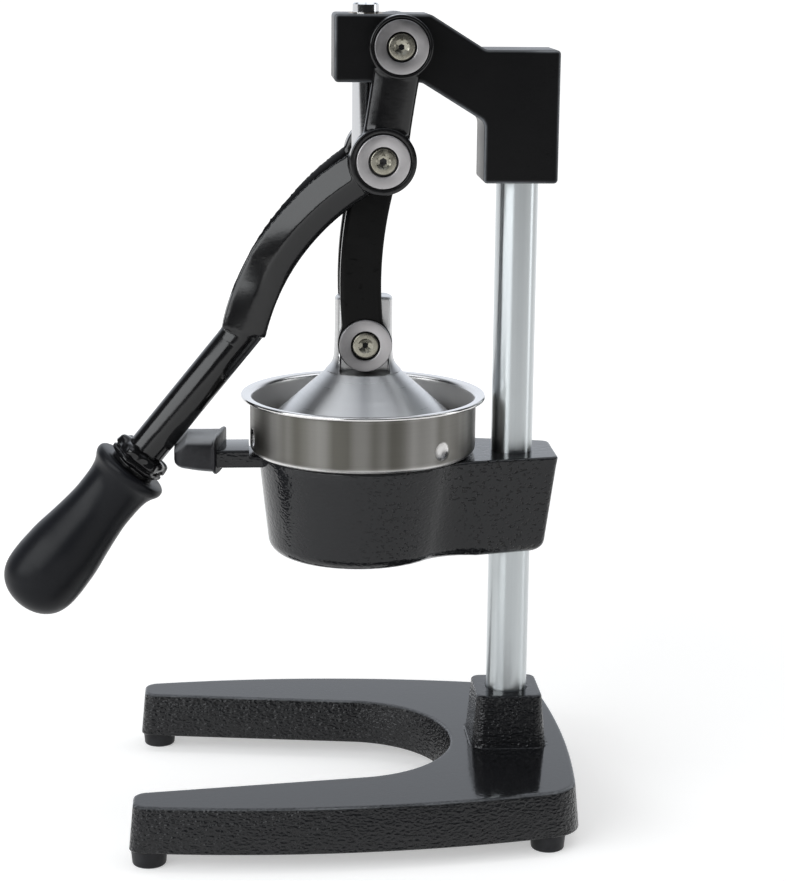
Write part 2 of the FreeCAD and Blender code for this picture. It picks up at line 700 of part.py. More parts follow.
# Column, tapped at its lower end for the bolt and washer that hold it
def make_column():
    hole = size.bolt_dia / 2 + size.thread_gap
    column = turned_body("column", [
        Corner(0, column_bottom + size.bolt_bite + size.hole_spare),
        Corner(hole, column_bottom + size.bolt_bite + size.hole_spare),
        Corner(hole, column_bottom),
        Corner(size.column_dia / 2, column_bottom),
        Corner(size.column_dia / 2, column_top),
        Corner(0, column_top),
    ])
    keep("column", place(column, column_x))

    washer = turned_body("column_washer", [
        Corner(hole, core_bottom - size.bolt_washer),
        Corner(size.bolt_washer_dia / 2, core_bottom - size.bolt_washer),
        Corner(size.bolt_washer_dia / 2, core_bottom),
        Corner(hole, core_bottom),
    ])
    keep("column_washer", place(washer, column_x))

    bolt = new_body("column_bolt")
    sketch = new_sketch(bolt, "head", "XY_Plane", core_bottom - size.bolt_washer)
    draw_outline(sketch, hexagon(size.bolt_head_flats))
    pad(bolt, sketch, size.bolt_head, flip=True)
    sketch = new_sketch(bolt, "shank", "XY_Plane", core_bottom - size.bolt_washer)
    draw_circle(sketch, 0, 0, size.bolt_dia / 2)
    pad(bolt, sketch, size.bolt_washer + size.boss_floor + size.bolt_bite)
    keep("column_bolt", place(bolt, column_x))


# Head casting: nose round the guide rod, sloping neck and socket over the column
def make_head():
    body = new_body("head")
    sketch = new_sketch(body, "side", "XZ_Plane")
    square = size.head_corner_round
    bend = size.head_bend_round
    throat_bottom = size.head_top - size.throat_drop
    socket_front_x = column_x - size.socket_front_run
    crown_back_x = column_x - size.crown_back_run
    set_screw_z = socket_bottom + size.head_screw_rise
    draw_outline(sketch, [
        Corner(-size.head_front, nose_bottom, square),
        Corner(size.nose_back_x, nose_bottom, bend),
        Corner(socket_front_x, throat_bottom, bend),
        Corner(socket_front_x, socket_bottom, square),
        Corner(head_back_x, socket_bottom, square),
        Corner(head_back_x, head_back_top, square),
        Corner(crown_back_x, head_back_top, bend),
        Corner(size.crown_front_x, size.head_top, bend),
        Corner(-size.head_front, size.head_top, square),
    ])
    block = pad(body, sketch, size.head_width, both=True)
    round_edges(body, block, size.head_edge_round,
                lambda edge: edge.BoundBox.YLength < 0.01)

    sketch = new_sketch(body, "column_bore", "XY_Plane", socket_bottom)
    draw_circle(sketch, column_x, 0, bore_dia / 2)
    pocket(body, sketch, column_top - socket_bottom + size.seat_gap, flip=True)

    sketch = new_sketch(body, "guide_bore", "XY_Plane", nose_bottom)
    draw_circle(sketch, 0, 0, size.rod_dia / 2 + size.running_gap + size.bush_wall + size.seat_gap)
    pocket(body, sketch, size.head_top - nose_bottom, flip=True)

    for side, sign in sides.items():
        sketch = new_sketch(body, f"pivot_hole_{side}", "XZ_Plane", -sign * size.head_width / 2)
        draw_circle(sketch, size.head_pivot_x, head_pivot_z, screw_bore / 2)
        pocket(body, sketch, size.screw_bite + size.hole_spare, flip=sign > 0)

    cut_set_screw_holes(body, head_back_x, set_screw_z)
    keep("head_casting", place(body))
    make_set_screws("head_set_screws", head_back_x, set_screw_z)

    bush = turned_body("guide_bush", [
        Corner(size.rod_dia / 2 + size.running_gap, nose_bottom),
        Corner(size.rod_dia / 2 + size.running_gap + size.bush_wall, nose_bottom),
        Corner(size.rod_dia / 2 + size.running_gap + size.bush_wall, size.head_top),
        Corner(size.rod_dia / 2 + size.running_gap, size.head_top),
    ])
    keep("guide_bush", place(bush))


# Set screws in pairs, one above the other, from a back face in to the column
def cut_set_screw_holes(body, face_x, low_z):
    sketch = new_sketch(body, "set_screw_holes", "YZ_Plane", face_x)
    for step in (0, 1):
        draw_circle(sketch, 0, low_z + step * size.set_screw_spread, size.set_screw_dia / 2 + size.thread_gap)
    pocket(body, sketch, face_x - column_x)


def make_set_screws(name, face_x, low_z):
    screws = []
    start_x = column_x + size.column_dia / 2 + size.seat_gap
    length = face_x - size.set_screw_sunk - start_x
    for step in (0, 1):
        screw = new_body(f"{name}_{step + 1}")
        sketch = new_sketch(screw, "shank", "XY_Plane")
        draw_circle(sketch, 0, 0, size.set_screw_dia / 2)
        pad(screw, sketch, length)
        sketch = new_sketch(screw, "socket", "XY_Plane", length)
        draw_outline(sketch, hexagon(size.set_screw_socket))
        pocket(screw, sketch, size.set_screw_socket_depth)
        screws.append(place(screw, start_x, 0, low_z + step * size.set_screw_spread, along, 90))
    keep_group(name, screws)


# Pivot bushes and screws. A bush is a flange with a sleeve; its local Z points outwards and is
# measured from the middle of the press. The screw's head sits in a pocket in the flange.
def make_pivot(name, x, z, inner, seat, bite):
    screws = []
    face = seat + size.disc_thick
    head_face = face - size.screw_sunk
    head_seat = head_face - size.screw_head
    hole = size.screw_dia / 2 + size.thread_gap
    for side in sides:
        bush = turned_body(f"{name}_bush_{side}", [
            Corner(hole, inner),
            Corner(size.sleeve_dia / 2, inner),
            Corner(size.sleeve_dia / 2, seat),
            Corner(size.disc_dia / 2, seat),
            Corner(size.disc_dia / 2, face, size.disc_edge_round),
            Corner(size.screw_pocket_dia / 2, face),
            Corner(size.screw_pocket_dia / 2, head_seat),
            Corner(hole, head_seat),
        ])
        keep(f"{name}_bush_{side}", place(bush, x, 0, z, across, outward_turn[side]))

        screw = turned_body(f"{name}_screw_{side}", [
            Corner(0, inner - bite),
            Corner(size.screw_dia / 2, inner - bite),
            Corner(size.screw_dia / 2, head_seat),
            Corner(size.screw_head_dia / 2, head_seat),
            Corner(size.screw_head_dia / 2, head_face, size.disc_edge_round),
            Corner(0, head_face),
        ])
        sketch = new_sketch(screw, "socket", "XY_Plane", head_face)
        draw_outline(sketch, hexagon(size.screw_socket))
        pocket(screw, sketch, size.screw_socket_depth)
        screws.append(place(screw, x, 0, z, across, outward_turn[side]))
    keep_group(f"{name}_screws", screws)


def make_pivots():
    make_pivot("head_pivot", size.head_pivot_x, head_pivot_z,
               size.head_width / 2, arm_outer + flange_gap, size.screw_bite)
    make_pivot("elbow", elbow_x, elbow_z, elbow_inner, arm_outer, as_size(0))
    make_pivot("dome_pivot", as_size(0), dome_pivot_z,
               size.neck_thick / 2, link_outer + flange_gap, size.dome_screw_bite)


# Lever fork: two arms that straddle head and links and draw together to the bar's root
def make_fork():
    body = new_body("fork")
    crank = size.crank_width / 2
    arm = size.arm_width / 2
    arm_bow_z = elbow_z - size.arm_bow_drop
    crank_across = (crank * cosine(size.crank_angle), crank * sine(size.crank_angle))
    bow_across = (arm * sine(size.arm_bow_angle), arm * cosine(size.arm_bow_angle))
    root_across = (arm * sine(size.mitre_angle), arm * cosine(size.mitre_angle))
    sketch = new_sketch(body, "side", "XZ_Plane")
    draw_outline(sketch, [
        Corner(size.head_pivot_x - crank_across[0], head_pivot_z + crank_across[1]),
        Corner(elbow_x - crank_across[0], elbow_z + crank_across[1],
               via=(size.arm_bow_x - bow_across[0], arm_bow_z + bow_across[1])),
        Corner(size.root_x - root_across[0], root_z + root_across[1]),
        Corner(size.root_x + root_across[0], root_z - root_across[1],
               via=(size.arm_bow_x + bow_across[0], arm_bow_z - bow_across[1])),
        Corner(elbow_x + crank_across[0], elbow_z - crank_across[1]),
        Corner(size.head_pivot_x + crank_across[0], head_pivot_z - crank_across[1]),
    ])
    pad(body, sketch, 2 * arm_outer, both=True)

    sketch = new_sketch(body, "bosses", "XZ_Plane")
    draw_circle(sketch, size.head_pivot_x, head_pivot_z, size.head_boss_dia / 2)
    draw_circle(sketch, elbow_x, elbow_z, size.elbow_boss_dia / 2)
    pad(body, sketch, 2 * (arm_outer + size.boss_lip), both=True)

    # Seen from above, two wedges take the outsides away and a tapered slot parts the arms
    far_x = size.root_x - size.arm_width
    clear_y = arm_outer + size.arm_thick
    sketch = new_sketch(body, "plan", "XY_Plane")
    for sign in sides.values():
        draw_outline(sketch, [
            Corner(size.spread_x, sign * arm_outer),
            Corner(size.root_start_x, sign * size.root_width / 2),
            Corner(far_x, sign * size.root_width / 2),
            Corner(far_x, sign * clear_y),
            Corner(size.spread_x, sign * clear_y),
        ])
    mouth_x = size.head_pivot_x + size.head_boss_dia
    draw_outline(sketch, [
        Corner(mouth_x, -arm_inner),
        Corner(mouth_x, arm_inner),
        Corner(size.spread_x, arm_inner),
        Corner(size.crotch_x, size.crotch_width / 2, via=(size.crotch_x - size.crotch_width / 2, 0)),
        Corner(size.crotch_x, -size.crotch_width / 2),
        Corner(size.spread_x, -arm_inner),
    ])
    pocket(body, sketch, 2 * (head_pivot_z + size.head_boss_dia), both=True)

    # Pads inside the elbow bring the arms close to the links
    sketch = new_sketch(body, "elbow_pads", "XZ_Plane")
    draw_circle(sketch, elbow_x, elbow_z, size.elbow_pad_dia / 2)
    pad(body, sketch, 2 * (arm_inner + size.arm_thick / 2), both=True)
    sketch = new_sketch(body, "elbow_room", "XZ_Plane")
    draw_circle(sketch, elbow_x, elbow_z, size.elbow_pad_dia)
    pocket(body, sketch, 2 * elbow_inner, both=True)

    for side, sign in sides.items():
        sketch = new_sketch(body, f"flange_seats_{side}", "XZ_Plane", -sign * arm_outer)
        for x, z in ((size.head_pivot_x, head_pivot_z), (elbow_x, elbow_z)):
            draw_circle(sketch, x, z, size.disc_dia / 2 + size.lip_gap)
        pocket(body, sketch, size.boss_lip, flip=sign < 0)
    sketch = new_sketch(body, "bores", "XZ_Plane")
    for x, z in ((size.head_pivot_x, head_pivot_z), (elbow_x, elbow_z)):
        draw_circle(sketch, x, z, sleeve_bore / 2)
    pocket(body, sketch, 2 * (arm_outer + size.boss_lip), both=True)

    # A socket for the bar's spigot, from beyond the mitre up into the root
    sketch = new_sketch(body, "spigot_hole", "XY_Plane")
    draw_circle(sketch, 0, 0, size.spigot_dia / 2 + size.running_gap)
    sketch.AttachmentOffset = Placement(Vector(0, 0, 0), Rotation(along, 90 - size.bar_angle.value))
    tie(sketch, "AttachmentOffset.Base.x", size.root_x - mitre_rise * cosine(size.bar_angle))
    tie(sketch, "AttachmentOffset.Base.z", root_z - mitre_rise * sine(size.bar_angle))
    tie(sketch, "AttachmentOffset.Rotation.Angle", 90 - size.bar_angle)
    pocket(body, sketch, mitre_rise + size.spigot_length + size.seat_gap, flip=True)
    keep("lever_fork", place(body))


# Curved links from the elbow to the dome, each with a bush in its elbow eye
def make_links():
    bushes = []
    half = size.link_width / 2
    link_bow_z = dome_pivot_z + size.link_bow_rise
    for side, sign in sides.items():
        body = new_body(f"link_{side}")
        start = -sign * link_inner
        sketch = new_sketch(body, "bow", "XZ_Plane", start)
        draw_outline(sketch, [
            Corner(-half, dome_pivot_z, via=(size.link_bow_x - half, link_bow_z)),
            Corner(elbow_x - half, elbow_z),
            Corner(elbow_x + half, elbow_z, via=(size.link_bow_x + half, link_bow_z)),
            Corner(half, dome_pivot_z),
        ])
        pad(body, sketch, size.link_thick, flip=sign > 0)
        sketch = new_sketch(body, "eyes", "XZ_Plane", start)
        draw_circle(sketch, 0, dome_pivot_z, size.link_foot_dia / 2)
        draw_circle(sketch, elbow_x, elbow_z, size.link_top_dia / 2)
        pad(body, sketch, size.link_thick, flip=sign > 0)
        sketch = new_sketch(body, "bores", "XZ_Plane", start)
        draw_circle(sketch, 0, dome_pivot_z, sleeve_bore / 2)
        draw_circle(sketch, elbow_x, elbow_z, size.link_pin_dia / 2 + size.running_gap)
        pocket(body, sketch, size.link_thick, flip=sign < 0)
        keep(f"link_{side}", place(body))

        bush = turned_body(f"link_bush_{side}", [
            Corner(0, link_inner),
            Corner(size.link_pin_dia / 2, link_inner),
            Corner(size.link_pin_dia / 2, link_outer),
            Corner(0, link_outer),
        ])
        bushes.append(place(bush, elbow_x, 0, elbow_z, across, outward_turn[side]))
    keep_group("link_bushes", bushes)


# Bar, nut, washer and grip lie on one sloping axis; their local Z runs from the root to the grip
def place_on_bar(item):
    return place(item, size.root_x, 0, root_z, along, 270 - size.bar_angle)


def make_lever_bar():
    nut_start = size.bar_length
    washer_start = nut_start + size.nut_height
    grip_start = washer_start + size.grip_washer_thick
    thread = size.bar_thread_dia / 2
    bore = thread + size.thread_gap
    bar = turned_body("lever_bar", [
        Corner(0, -mitre_rise),
        Corner(size.bar_dia / 2, -mitre_rise),
        Corner(size.bar_dia / 2, nut_start),
        Corner(thread, nut_start),
        Corner(thread, grip_start + size.bar_thread_bite),
        Corner(0, grip_start + size.bar_thread_bite),
    ])
    reach = size.bar_dia
    sketch = new_sketch(bar, "mitre", "XZ_Plane")
    draw_outline(sketch, [
        Corner(-reach, -reach * tangent(mitre_turn)),
        Corner(reach, reach * tangent(mitre_turn)),
        Corner(reach, -2 * reach),
        Corner(-reach, -2 * reach),
    ])
    pocket(bar, sketch, 2 * reach, both=True)
    sketch = new_sketch(bar, "spigot", "XY_Plane", -size.spigot_length)
    draw_circle(sketch, 0, 0, size.spigot_dia / 2)
    pad(bar, sketch, size.spigot_length + mitre_rise)
    keep("lever_bar", place_on_bar(bar))

    nut = new_body("grip_nut")
    sketch = new_sketch(nut, "flats", "XY_Plane", nut_start)
    draw_outline(sketch, hexagon(size.nut_flats))
    pad(nut, sketch, size.nut_height)
    sketch = new_sketch(nut, "bore", "XY_Plane", nut_start)
    draw_circle(sketch, 0, 0, bore)
    pocket(nut, sketch, size.nut_height, flip=True)
    keep("grip_nut", place_on_bar(nut))

    washer = turned_body("grip_washer", [
        Corner(bore, washer_start),
        Corner(size.grip_washer_dia / 2, washer_start),
        Corner(size.grip_washer_dia / 2, grip_start),
        Corner(bore, grip_start),
    ])
    keep("grip_washer", place_on_bar(washer))

    bore_end = grip_start + size.bar_thread_bite + size.hole_spare
    grip = turned_body("grip", [
        Corner(bore, grip_start),
        Corner(size.collar_dia / 2, grip_start, size.collar_round),
        Corner(size.collar_dia / 2, grip_start + size.collar_length, size.collar_round),
        Corner(size.neck_in_dia / 2, grip_start + size.collar_length,
               via=(size.waist_dia / 2, grip_start + size.waist_at)),
        Corner(size.shoulder_dia / 2, grip_start + size.shoulder_at,
               via=(size.swell_dia / 2, grip_start + size.swell_at)),
        Corner(size.nose_dia / 2, grip_start + size.nose_at,
               via=(size.tip_bulge_dia / 2, grip_start + size.tip_bulge_at)),
        Corner(size.tip_dia / 2, grip_start + size.grip_length),
        Corner(0, grip_start + size.grip_length),
        Corner(0, bore_end),
        Corner(bore, bore_end),
    ])
    keep("grip", place_on_bar(grip))


# Press dome: a hollow cone on a flat-sided neck, and the guide rod screwed into it
def make_dome():
    body = new_body("press_dome")
    neck = size.neck_dia / 2
    stud = size.stud_dia / 2 + size.thread_gap
    sketch = new_sketch(body, "profile", "XZ_Plane")
    draw_outline(sketch, [
        Corner(0, hollow_top),
        Corner(dome_peak, hollow_top),
        Corner(hollow_rim, dome_rim_z),
        Corner(size.dome_dia / 2, dome_rim_z),
        Corner(neck, cone_top),
        Corner(neck, neck_top),
        Corner(stud, neck_top),
        Corner(stud, neck_top - size.stud_length - size.hole_spare),
        Corner(0, neck_top - size.stud_length - size.hole_spare),
    ])
    turn(body, sketch)

    for side, sign in sides.items():
        sketch = new_sketch(body, f"flat_{side}", "XZ_Plane", -sign * size.neck_thick / 2)
        draw_outline(sketch, [
            Corner(-size.neck_dia, flat_bottom),
            Corner(size.neck_dia, flat_bottom),
            Corner(size.neck_dia, neck_top + size.hole_spare),
            Corner(-size.neck_dia, neck_top + size.hole_spare),
        ])
        pocket(body, sketch, size.neck_dia, flip=sign < 0)
        sketch = new_sketch(body, f"screw_hole_{side}", "XZ_Plane", -sign * size.neck_thick / 2)
        draw_circle(sketch, 0, dome_pivot_z, screw_bore / 2)
        pocket(body, sketch, size.dome_screw_bite + size.seat_gap, flip=sign > 0)
    keep("press_dome", place(body))

    rod = size.rod_dia / 2
    rod_top = size.head_top + size.rod_stand_out
    guide = turned_body("guide_rod", [
        Corner(0, neck_top - size.stud_length),
        Corner(size.stud_dia / 2, neck_top - size.stud_length),
        Corner(size.stud_dia / 2, neck_top),
        Corner(rod, neck_top),
        Corner(rod, rod_top - size.rod_chamfer),
        Corner(rod - size.rod_chamfer, rod_top),
        Corner(0, rod_top),
    ])
    keep("guide_rod", place(guide))


# Cup: a thin pressed shell with a rim, a funnel and a spout; three dimples carry the strainer
def make_cup():
    wall = size.cup_wall
    outside = size.cup_dia / 2
    funnel_dia = size.bowl_dia - 2 * (size.bowl_wall + size.funnel_room)
    run = (funnel_dia - size.spout_dia) / 2
    fall = size.funnel_height
    spout_top = bracket_top - fall
    spout_bottom = spout_top - size.spout_length
    lift = wall * root(run * run + fall * fall) / run
    shell = turned_body("cup_shell", [
        Corner(size.spout_dia / 2 - wall, spout_bottom),
        Corner(size.spout_dia / 2, spout_bottom),
        Corner(size.spout_dia / 2, spout_top),
        Corner(funnel_dia / 2, bracket_top),
        Corner(outside, bracket_top, size.cup_corner),
        Corner(outside, rim_top - size.rim_lip),
        Corner(rim_dia / 2, rim_top - size.rim_lip),
        Corner(rim_dia / 2, rim_top),
        Corner(outside - wall, rim_top),
        Corner(outside - wall, bracket_top + wall, size.cup_corner - wall),
        Corner(funnel_dia / 2 - (lift - wall) * run / fall, bracket_top + wall),
        Corner(size.spout_dia / 2 - wall, spout_top + lift - wall * fall / run),
    ])
    place(shell)
    pips = []
    hollows = []
    for step in range(3):
        direction = size.dimple_angle + 120 * step
        reach = outside - wall - size.dimple_depth
        pip = doc.addObject("Part::Cylinder", f"dimple_{step + 1}")
        tie(pip, "Radius", size.dimple_dia / 2)
        tie(pip, "Height", size.dimple_depth + wall / 2)
        hollow = doc.addObject("Part::Sphere", f"dimple_hollow_{step + 1}")
        ball = size.dimple_ball_dia / 2
        tie(hollow, "Radius", ball)
        out = outside + ball - size.dimple_hollow
        for item, radius in ((pip, reach), (hollow, out)):
            heading = Rotation(Vector(0, 0, 1), direction.value) * Rotation(along, 90)
            item.Placement = Placement(Vector(0, 0, 0), heading)
            tie(item, "Placement.Base.x", size.press_axis_x + radius * cosine(direction))
            tie(item, "Placement.Base.y", radius * sine(direction))
            tie(item, "Placement.Base.z", dimple_z)
        pips.append(pip)
        hollows.append(hollow)
    filled = doc.addObject("Part::MultiFuse", "cup_with_dimples")
    filled.Shapes = [shell] + pips
    tools = doc.addObject("Part::Compound", "dimple_hollows")
    tools.Links = hollows
    cup = doc.addObject("Part::Cut", "juice_cup")
    cup.Base = filled
    cup.Tool = tools
    keep("juice_cup", cup)


# Strainer: a slotted cone on a flange, close under the dome's hollow
def make_strainer():
    body = new_body("strainer")
    wall = size.strainer_wall
    inset = size.strainer_gap / cosine(size.cone_angle)
    skin = wall / cosine(size.cone_angle) - wall * cone_run
    cone_rim = hollow_rim - inset + size.dome_rest_gap * cone_run
    cap_z = flange_z + wall + (cone_rim - dome_peak) / cone_run
    drain_start = dome_peak + size.drain_start_gap
    drain_end = cone_rim - size.drain_end_gap
    sketch = new_sketch(body, "profile", "XZ_Plane")
    draw_outline(sketch, [
        Corner(0, cap_z - wall),
        Corner(dome_peak - skin, cap_z - wall),
        Corner(cone_rim - skin, flange_z),
        Corner(size.cup_dia / 2 - size.cup_wall - size.strainer_rim_gap, flange_z),
        Corner(size.cup_dia / 2 - size.cup_wall - size.strainer_rim_gap, flange_z + wall),
        Corner(cone_rim, flange_z + wall),
        Corner(dome_peak, cap_z),
        Corner(0, cap_z),
    ])
    turn(body, sketch)
    sketch = new_sketch(body, "drain", "XY_Plane", flange_z)
    half = size.drain_width / 2
    draw_outline(sketch, [
        Corner(drain_start, -half),
        Corner(drain_end, -half),
        Corner(drain_end, half),
        Corner(drain_start, half),
    ])
    slot = pocket(body, sketch, cap_z - flange_z, flip=True)
    slots = body.newObject("PartDesign::PolarPattern", "drains")
    slots.Originals = [slot]
    slots.Axis = (sketch, ["N_Axis"])
    slots.Angle = 360
    tie(slots, "Occurrences", size.drain_count)
    body.Tip = slots
    keep("strainer_cone", place(body))


# Bracket: a drafted casting with a bowl for the cup, an arm round the column and the lever's rest
def make_bracket():
    body = new_body("bracket")

    bracket_arm_x = column_x - size.bracket_arm_run

    def plan(inset):
        near_half = [
            Corner(size.bowl_end_x - inset, inset - bowl_half,
                   via=(size.cheek_x - inset, inset - size.cheek_half)),
            Corner(bracket_arm_x, inset - size.bracket_arm_half),
            Corner(bracket_end_x - inset, inset - size.bracket_end_half, size.bracket_end_round),
        ]
        return mirrored_outline(near_half, (inset - size.bowl_dia / 2, 0))

    bowl_half = root(size.bowl_dia * size.bowl_dia / 4 - size.bowl_end_x * size.bowl_end_x)
    levels = []
    for angle in (90, 60, 30, 0):
        rise = size.bracket_foot_round * (1 - math.sin(math.radians(angle)))
        draw_in = size.bracket_foot_round * (1 - math.cos(math.radians(angle)))
        drafted = (size.bracket_height - rise) * tangent(size.bracket_draft_angle)
        levels.append((bracket_bottom + rise, plan(drafted + draw_in)))
    loft(body, "block", levels + [(bracket_top, plan(0))])

    # The rest: a low root under the cup's edge, then the full bar
    start_x = size.bowl_wall - size.bowl_dia / 2
    rest_step_x = -size.cup_dia / 2 - size.rest_clear
    for name, from_x, to_x, top in (
        ("rest_root", start_x, size.rest_end_x, bracket_top - size.side_gap),
        ("rest_bar", rest_step_x, size.rest_end_x, rest_top),
    ):
        sketch = new_sketch(body, name, "XZ_Plane")
        draw_outline(sketch, [
            Corner(to_x, rest_bottom),
            Corner(from_x, rest_bottom),
            Corner(from_x, top),
            Corner(to_x, top),
        ])
        pad(body, sketch, 2 * size.rest_half_width, both=True)

    inner_top = size.bowl_dia / 2 - size.bowl_wall
    floor_z = bracket_bottom + size.bowl_floor
    inner_floor = inner_top - (bracket_top - floor_z) * tangent(size.bracket_draft_angle)
    sketch = new_sketch(body, "bowl", "XZ_Plane")
    draw_outline(sketch, [
        Corner(0, floor_z),
        Corner(inner_floor, floor_z),
        Corner(inner_top, bracket_top),
        Corner(0, bracket_top),
    ])
    turn(body, sketch, "Groove")
    sketch = new_sketch(body, "spout_hole", "XY_Plane", bracket_bottom)
    draw_circle(sketch, 0, 0, size.bowl_hole_dia / 2)
    pocket(body, sketch, size.bowl_floor, flip=True)
    sketch = new_sketch(body, "column_bore", "XY_Plane", bracket_bottom)
    draw_circle(sketch, column_x, 0, bore_dia / 2)
    pocket(body, sketch, size.bracket_height, flip=True)
    set_screw_z = bracket_bottom + size.bracket_screw_rise
    cut_set_screw_holes(body, bracket_end_x, set_screw_z)
    keep("cup_bracket", place(body))
    screw_face_x = bracket_end_x - size.bracket_screw_inset
    make_set_screws("bracket_set_screws", screw_face_x, set_screw_z)


# Rubber bumper: a sleeve on the rest, with a slope under the lever bar and a thick edge
def make_bumper():
    body = new_body("bumper")
    low = rest_bottom - size.bumper_wall
    half = size.rest_half_width + size.bumper_wall
    bumper_top = bracket_top + size.bumper_rise
    sketch = new_sketch(body, "side", "XZ_Plane")
    draw_outline(sketch, [
        Corner(size.bumper_end_x, low),
        Corner(size.bumper_start_x, low),
        Corner(size.bumper_start_x, bumper_top),
        Corner(size.bumper_end_x + size.bumper_slope, bumper_top),
        Corner(size.bumper_end_x, bumper_top - size.bumper_slope),
    ])
    block = pad(body, sketch, 2 * half, both=True)
    round_edges(body, block, size.bumper_round,
                lambda edge: edge.BoundBox.YLength < 0.01)
    sketch = new_sketch(body, "bore", "YZ_Plane", size.bumper_start_x)
    side = size.rest_half_width + size.seat_gap
    draw_outline(sketch, [
        Corner(-side, rest_bottom - size.seat_gap),
        Corner(side, rest_bottom - size.seat_gap),
        Corner(side, rest_top + size.seat_gap),
        Corner(-side, rest_top + size.seat_gap),
    ])
    pocket(body, sketch, size.bumper_start_x - size.rest_end_x + size.seat_gap)
    keep("bumper_sleeve", place(body))


def check_and_write():
    doc.recompute()
    for item in doc.Objects:
        if "Invalid" in item.State or "Error" in item.State:
            raise RuntimeError(f"{item.Name} failed: {item.State}")
    for name, item in nodes.items():
        if item.Shape.isNull() or not item.Shape.isValid():
            raise RuntimeError(f"{name} has no valid shape")
    os.makedirs("parts", exist_ok=True)
    for name, item in nodes.items():
        item.Shape.exportStep(f"parts/{name}.step")


make_base()
make_feet()
make_column()
make_head()
make_pivots()
make_fork()
make_links()
make_lever_bar()
make_dome()
make_cup()
make_strainer()
make_bracket()
make_bumper()
check_and_write()
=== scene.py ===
import math

import bmesh
import bpy
import numpy as np
from mathutils import Matrix


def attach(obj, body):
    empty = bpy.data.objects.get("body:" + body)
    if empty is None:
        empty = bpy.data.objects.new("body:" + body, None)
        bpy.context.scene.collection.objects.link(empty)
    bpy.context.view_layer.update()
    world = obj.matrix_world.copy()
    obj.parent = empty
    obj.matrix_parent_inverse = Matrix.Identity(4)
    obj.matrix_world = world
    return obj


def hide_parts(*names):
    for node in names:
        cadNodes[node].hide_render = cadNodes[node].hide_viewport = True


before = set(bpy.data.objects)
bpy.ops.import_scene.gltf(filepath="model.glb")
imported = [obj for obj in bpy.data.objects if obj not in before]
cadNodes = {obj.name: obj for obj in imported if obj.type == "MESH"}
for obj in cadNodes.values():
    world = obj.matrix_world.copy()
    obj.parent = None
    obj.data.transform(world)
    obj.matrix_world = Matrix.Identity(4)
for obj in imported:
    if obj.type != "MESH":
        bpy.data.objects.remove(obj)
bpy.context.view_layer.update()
print("frame loaded:", len(cadNodes), "nodes")

# Shapes are worked out in millimetres with X from the press axis, and put into metres at the end
pressAxis = np.array([37.5, 0.0, 0.0])
metre = 0.001
tau = 2 * math.pi
quarter = math.pi / 2


# Surfaces

# one shell: a grid of points with closed columns, and flat ends where they are asked for;
# its faces are one run of point numbers and the number of corners of each face
def shell(grid, closeRows=False, capStart=False, capEnd=False):
    rows, cols = grid.shape[:2]
    i = np.arange(rows if closeRows else rows - 1)[:, None]
    j = np.arange(cols)
    iNext, jNext = (i + 1) % rows, (j + 1) % cols
    quads = np.stack([i * cols + j, i * cols + jNext, iNext * cols + jNext, iNext * cols + j], axis=-1)
    ends = [j[::-1]] * capStart + [(rows - 1) * cols + j] * capEnd
    corners = np.concatenate([quads.ravel(), *ends])
    return grid.reshape(-1, 3), corners, np.array([4] * (quads.size // 4) + [cols] * len(ends))


# polyline with rounded corners: each corner is (x, y, radius) and becomes an arc tangent to both sides
def roundedPath(corners, steps=8, closed=True):
    pts = np.array([c[:2] for c in corners], float)
    t = np.linspace(0, 1, steps + 1)[:, None]
    out = []
    for k, corner in enumerate(corners):
        radius = corner[2] if len(corner) > 2 else 0
        if radius == 0 or (not closed and k in (0, len(corners) - 1)):
            out.append(pts[k][None])
            continue
        a, b = pts[k - 1] - pts[k], pts[(k + 1) % len(pts)] - pts[k]
        a, b = a / np.linalg.norm(a), b / np.linalg.norm(b)
        half = math.acos(np.clip(a @ b, -1, 1)) / 2
        centre = pts[k] + (a + b) / np.linalg.norm(a + b) * radius / math.sin(half)
        # turn from one tangent point to the other about the arc's centre
        start, stop = (pts[k] + side * radius / math.tan(half) - centre for side in (a, b))
        angle = math.acos(np.clip(start @ stop / radius ** 2, -1, 1))
        out.append(centre + (np.sin((1 - t) * angle) * start + np.sin(t * angle) * stop) / math.sin(angle))
    return np.concatenate(out)


# arc through three points, ends included: its centre is as far from each of them
def arcThrough(a, via, b, count):
    a, via, b = (np.array(p, float) for p in (a, via, b))
    centre = np.linalg.solve([via - a, b - a], [0.5 * (via @ via - a @ a), 0.5 * (b @ b - a @ a)])
    angles = np.unwrap([math.atan2(*(p - centre)[::-1]) for p in (a, via, b)])
    t = np.linspace(angles[0], angles[2], count)
    return centre + np.linalg.norm(a - centre) * np.stack([np.cos(t), np.sin(t)], axis=1)


# length run along a polyline up to each of its points
def lengthAlong(path):
    return np.concatenate([[0], np.cumsum(np.linalg.norm(np.diff(path, axis=0), axis=1))])


# even spacing along a polyline
def resample(path, count, closed=False):
    pts = np.vstack([path, path[:1]]) if closed else np.asarray(path, float)
    run = lengthAlong(pts)
    at = np.linspace(0, run[-1], count, endpoint=not closed)
    return np.stack([np.interp(at, run, pts[:, k]) for k in range(pts.shape[1])], axis=1)


# unit normals to the left of an open path, from the steps on both sides of each point
def leftOf(path):
    step = np.gradient(path, axis=0)
    step /= np.linalg.norm(step, axis=1)[:, None]
    return np.stack([-step[:, 1], step[:, 0]], axis=1)


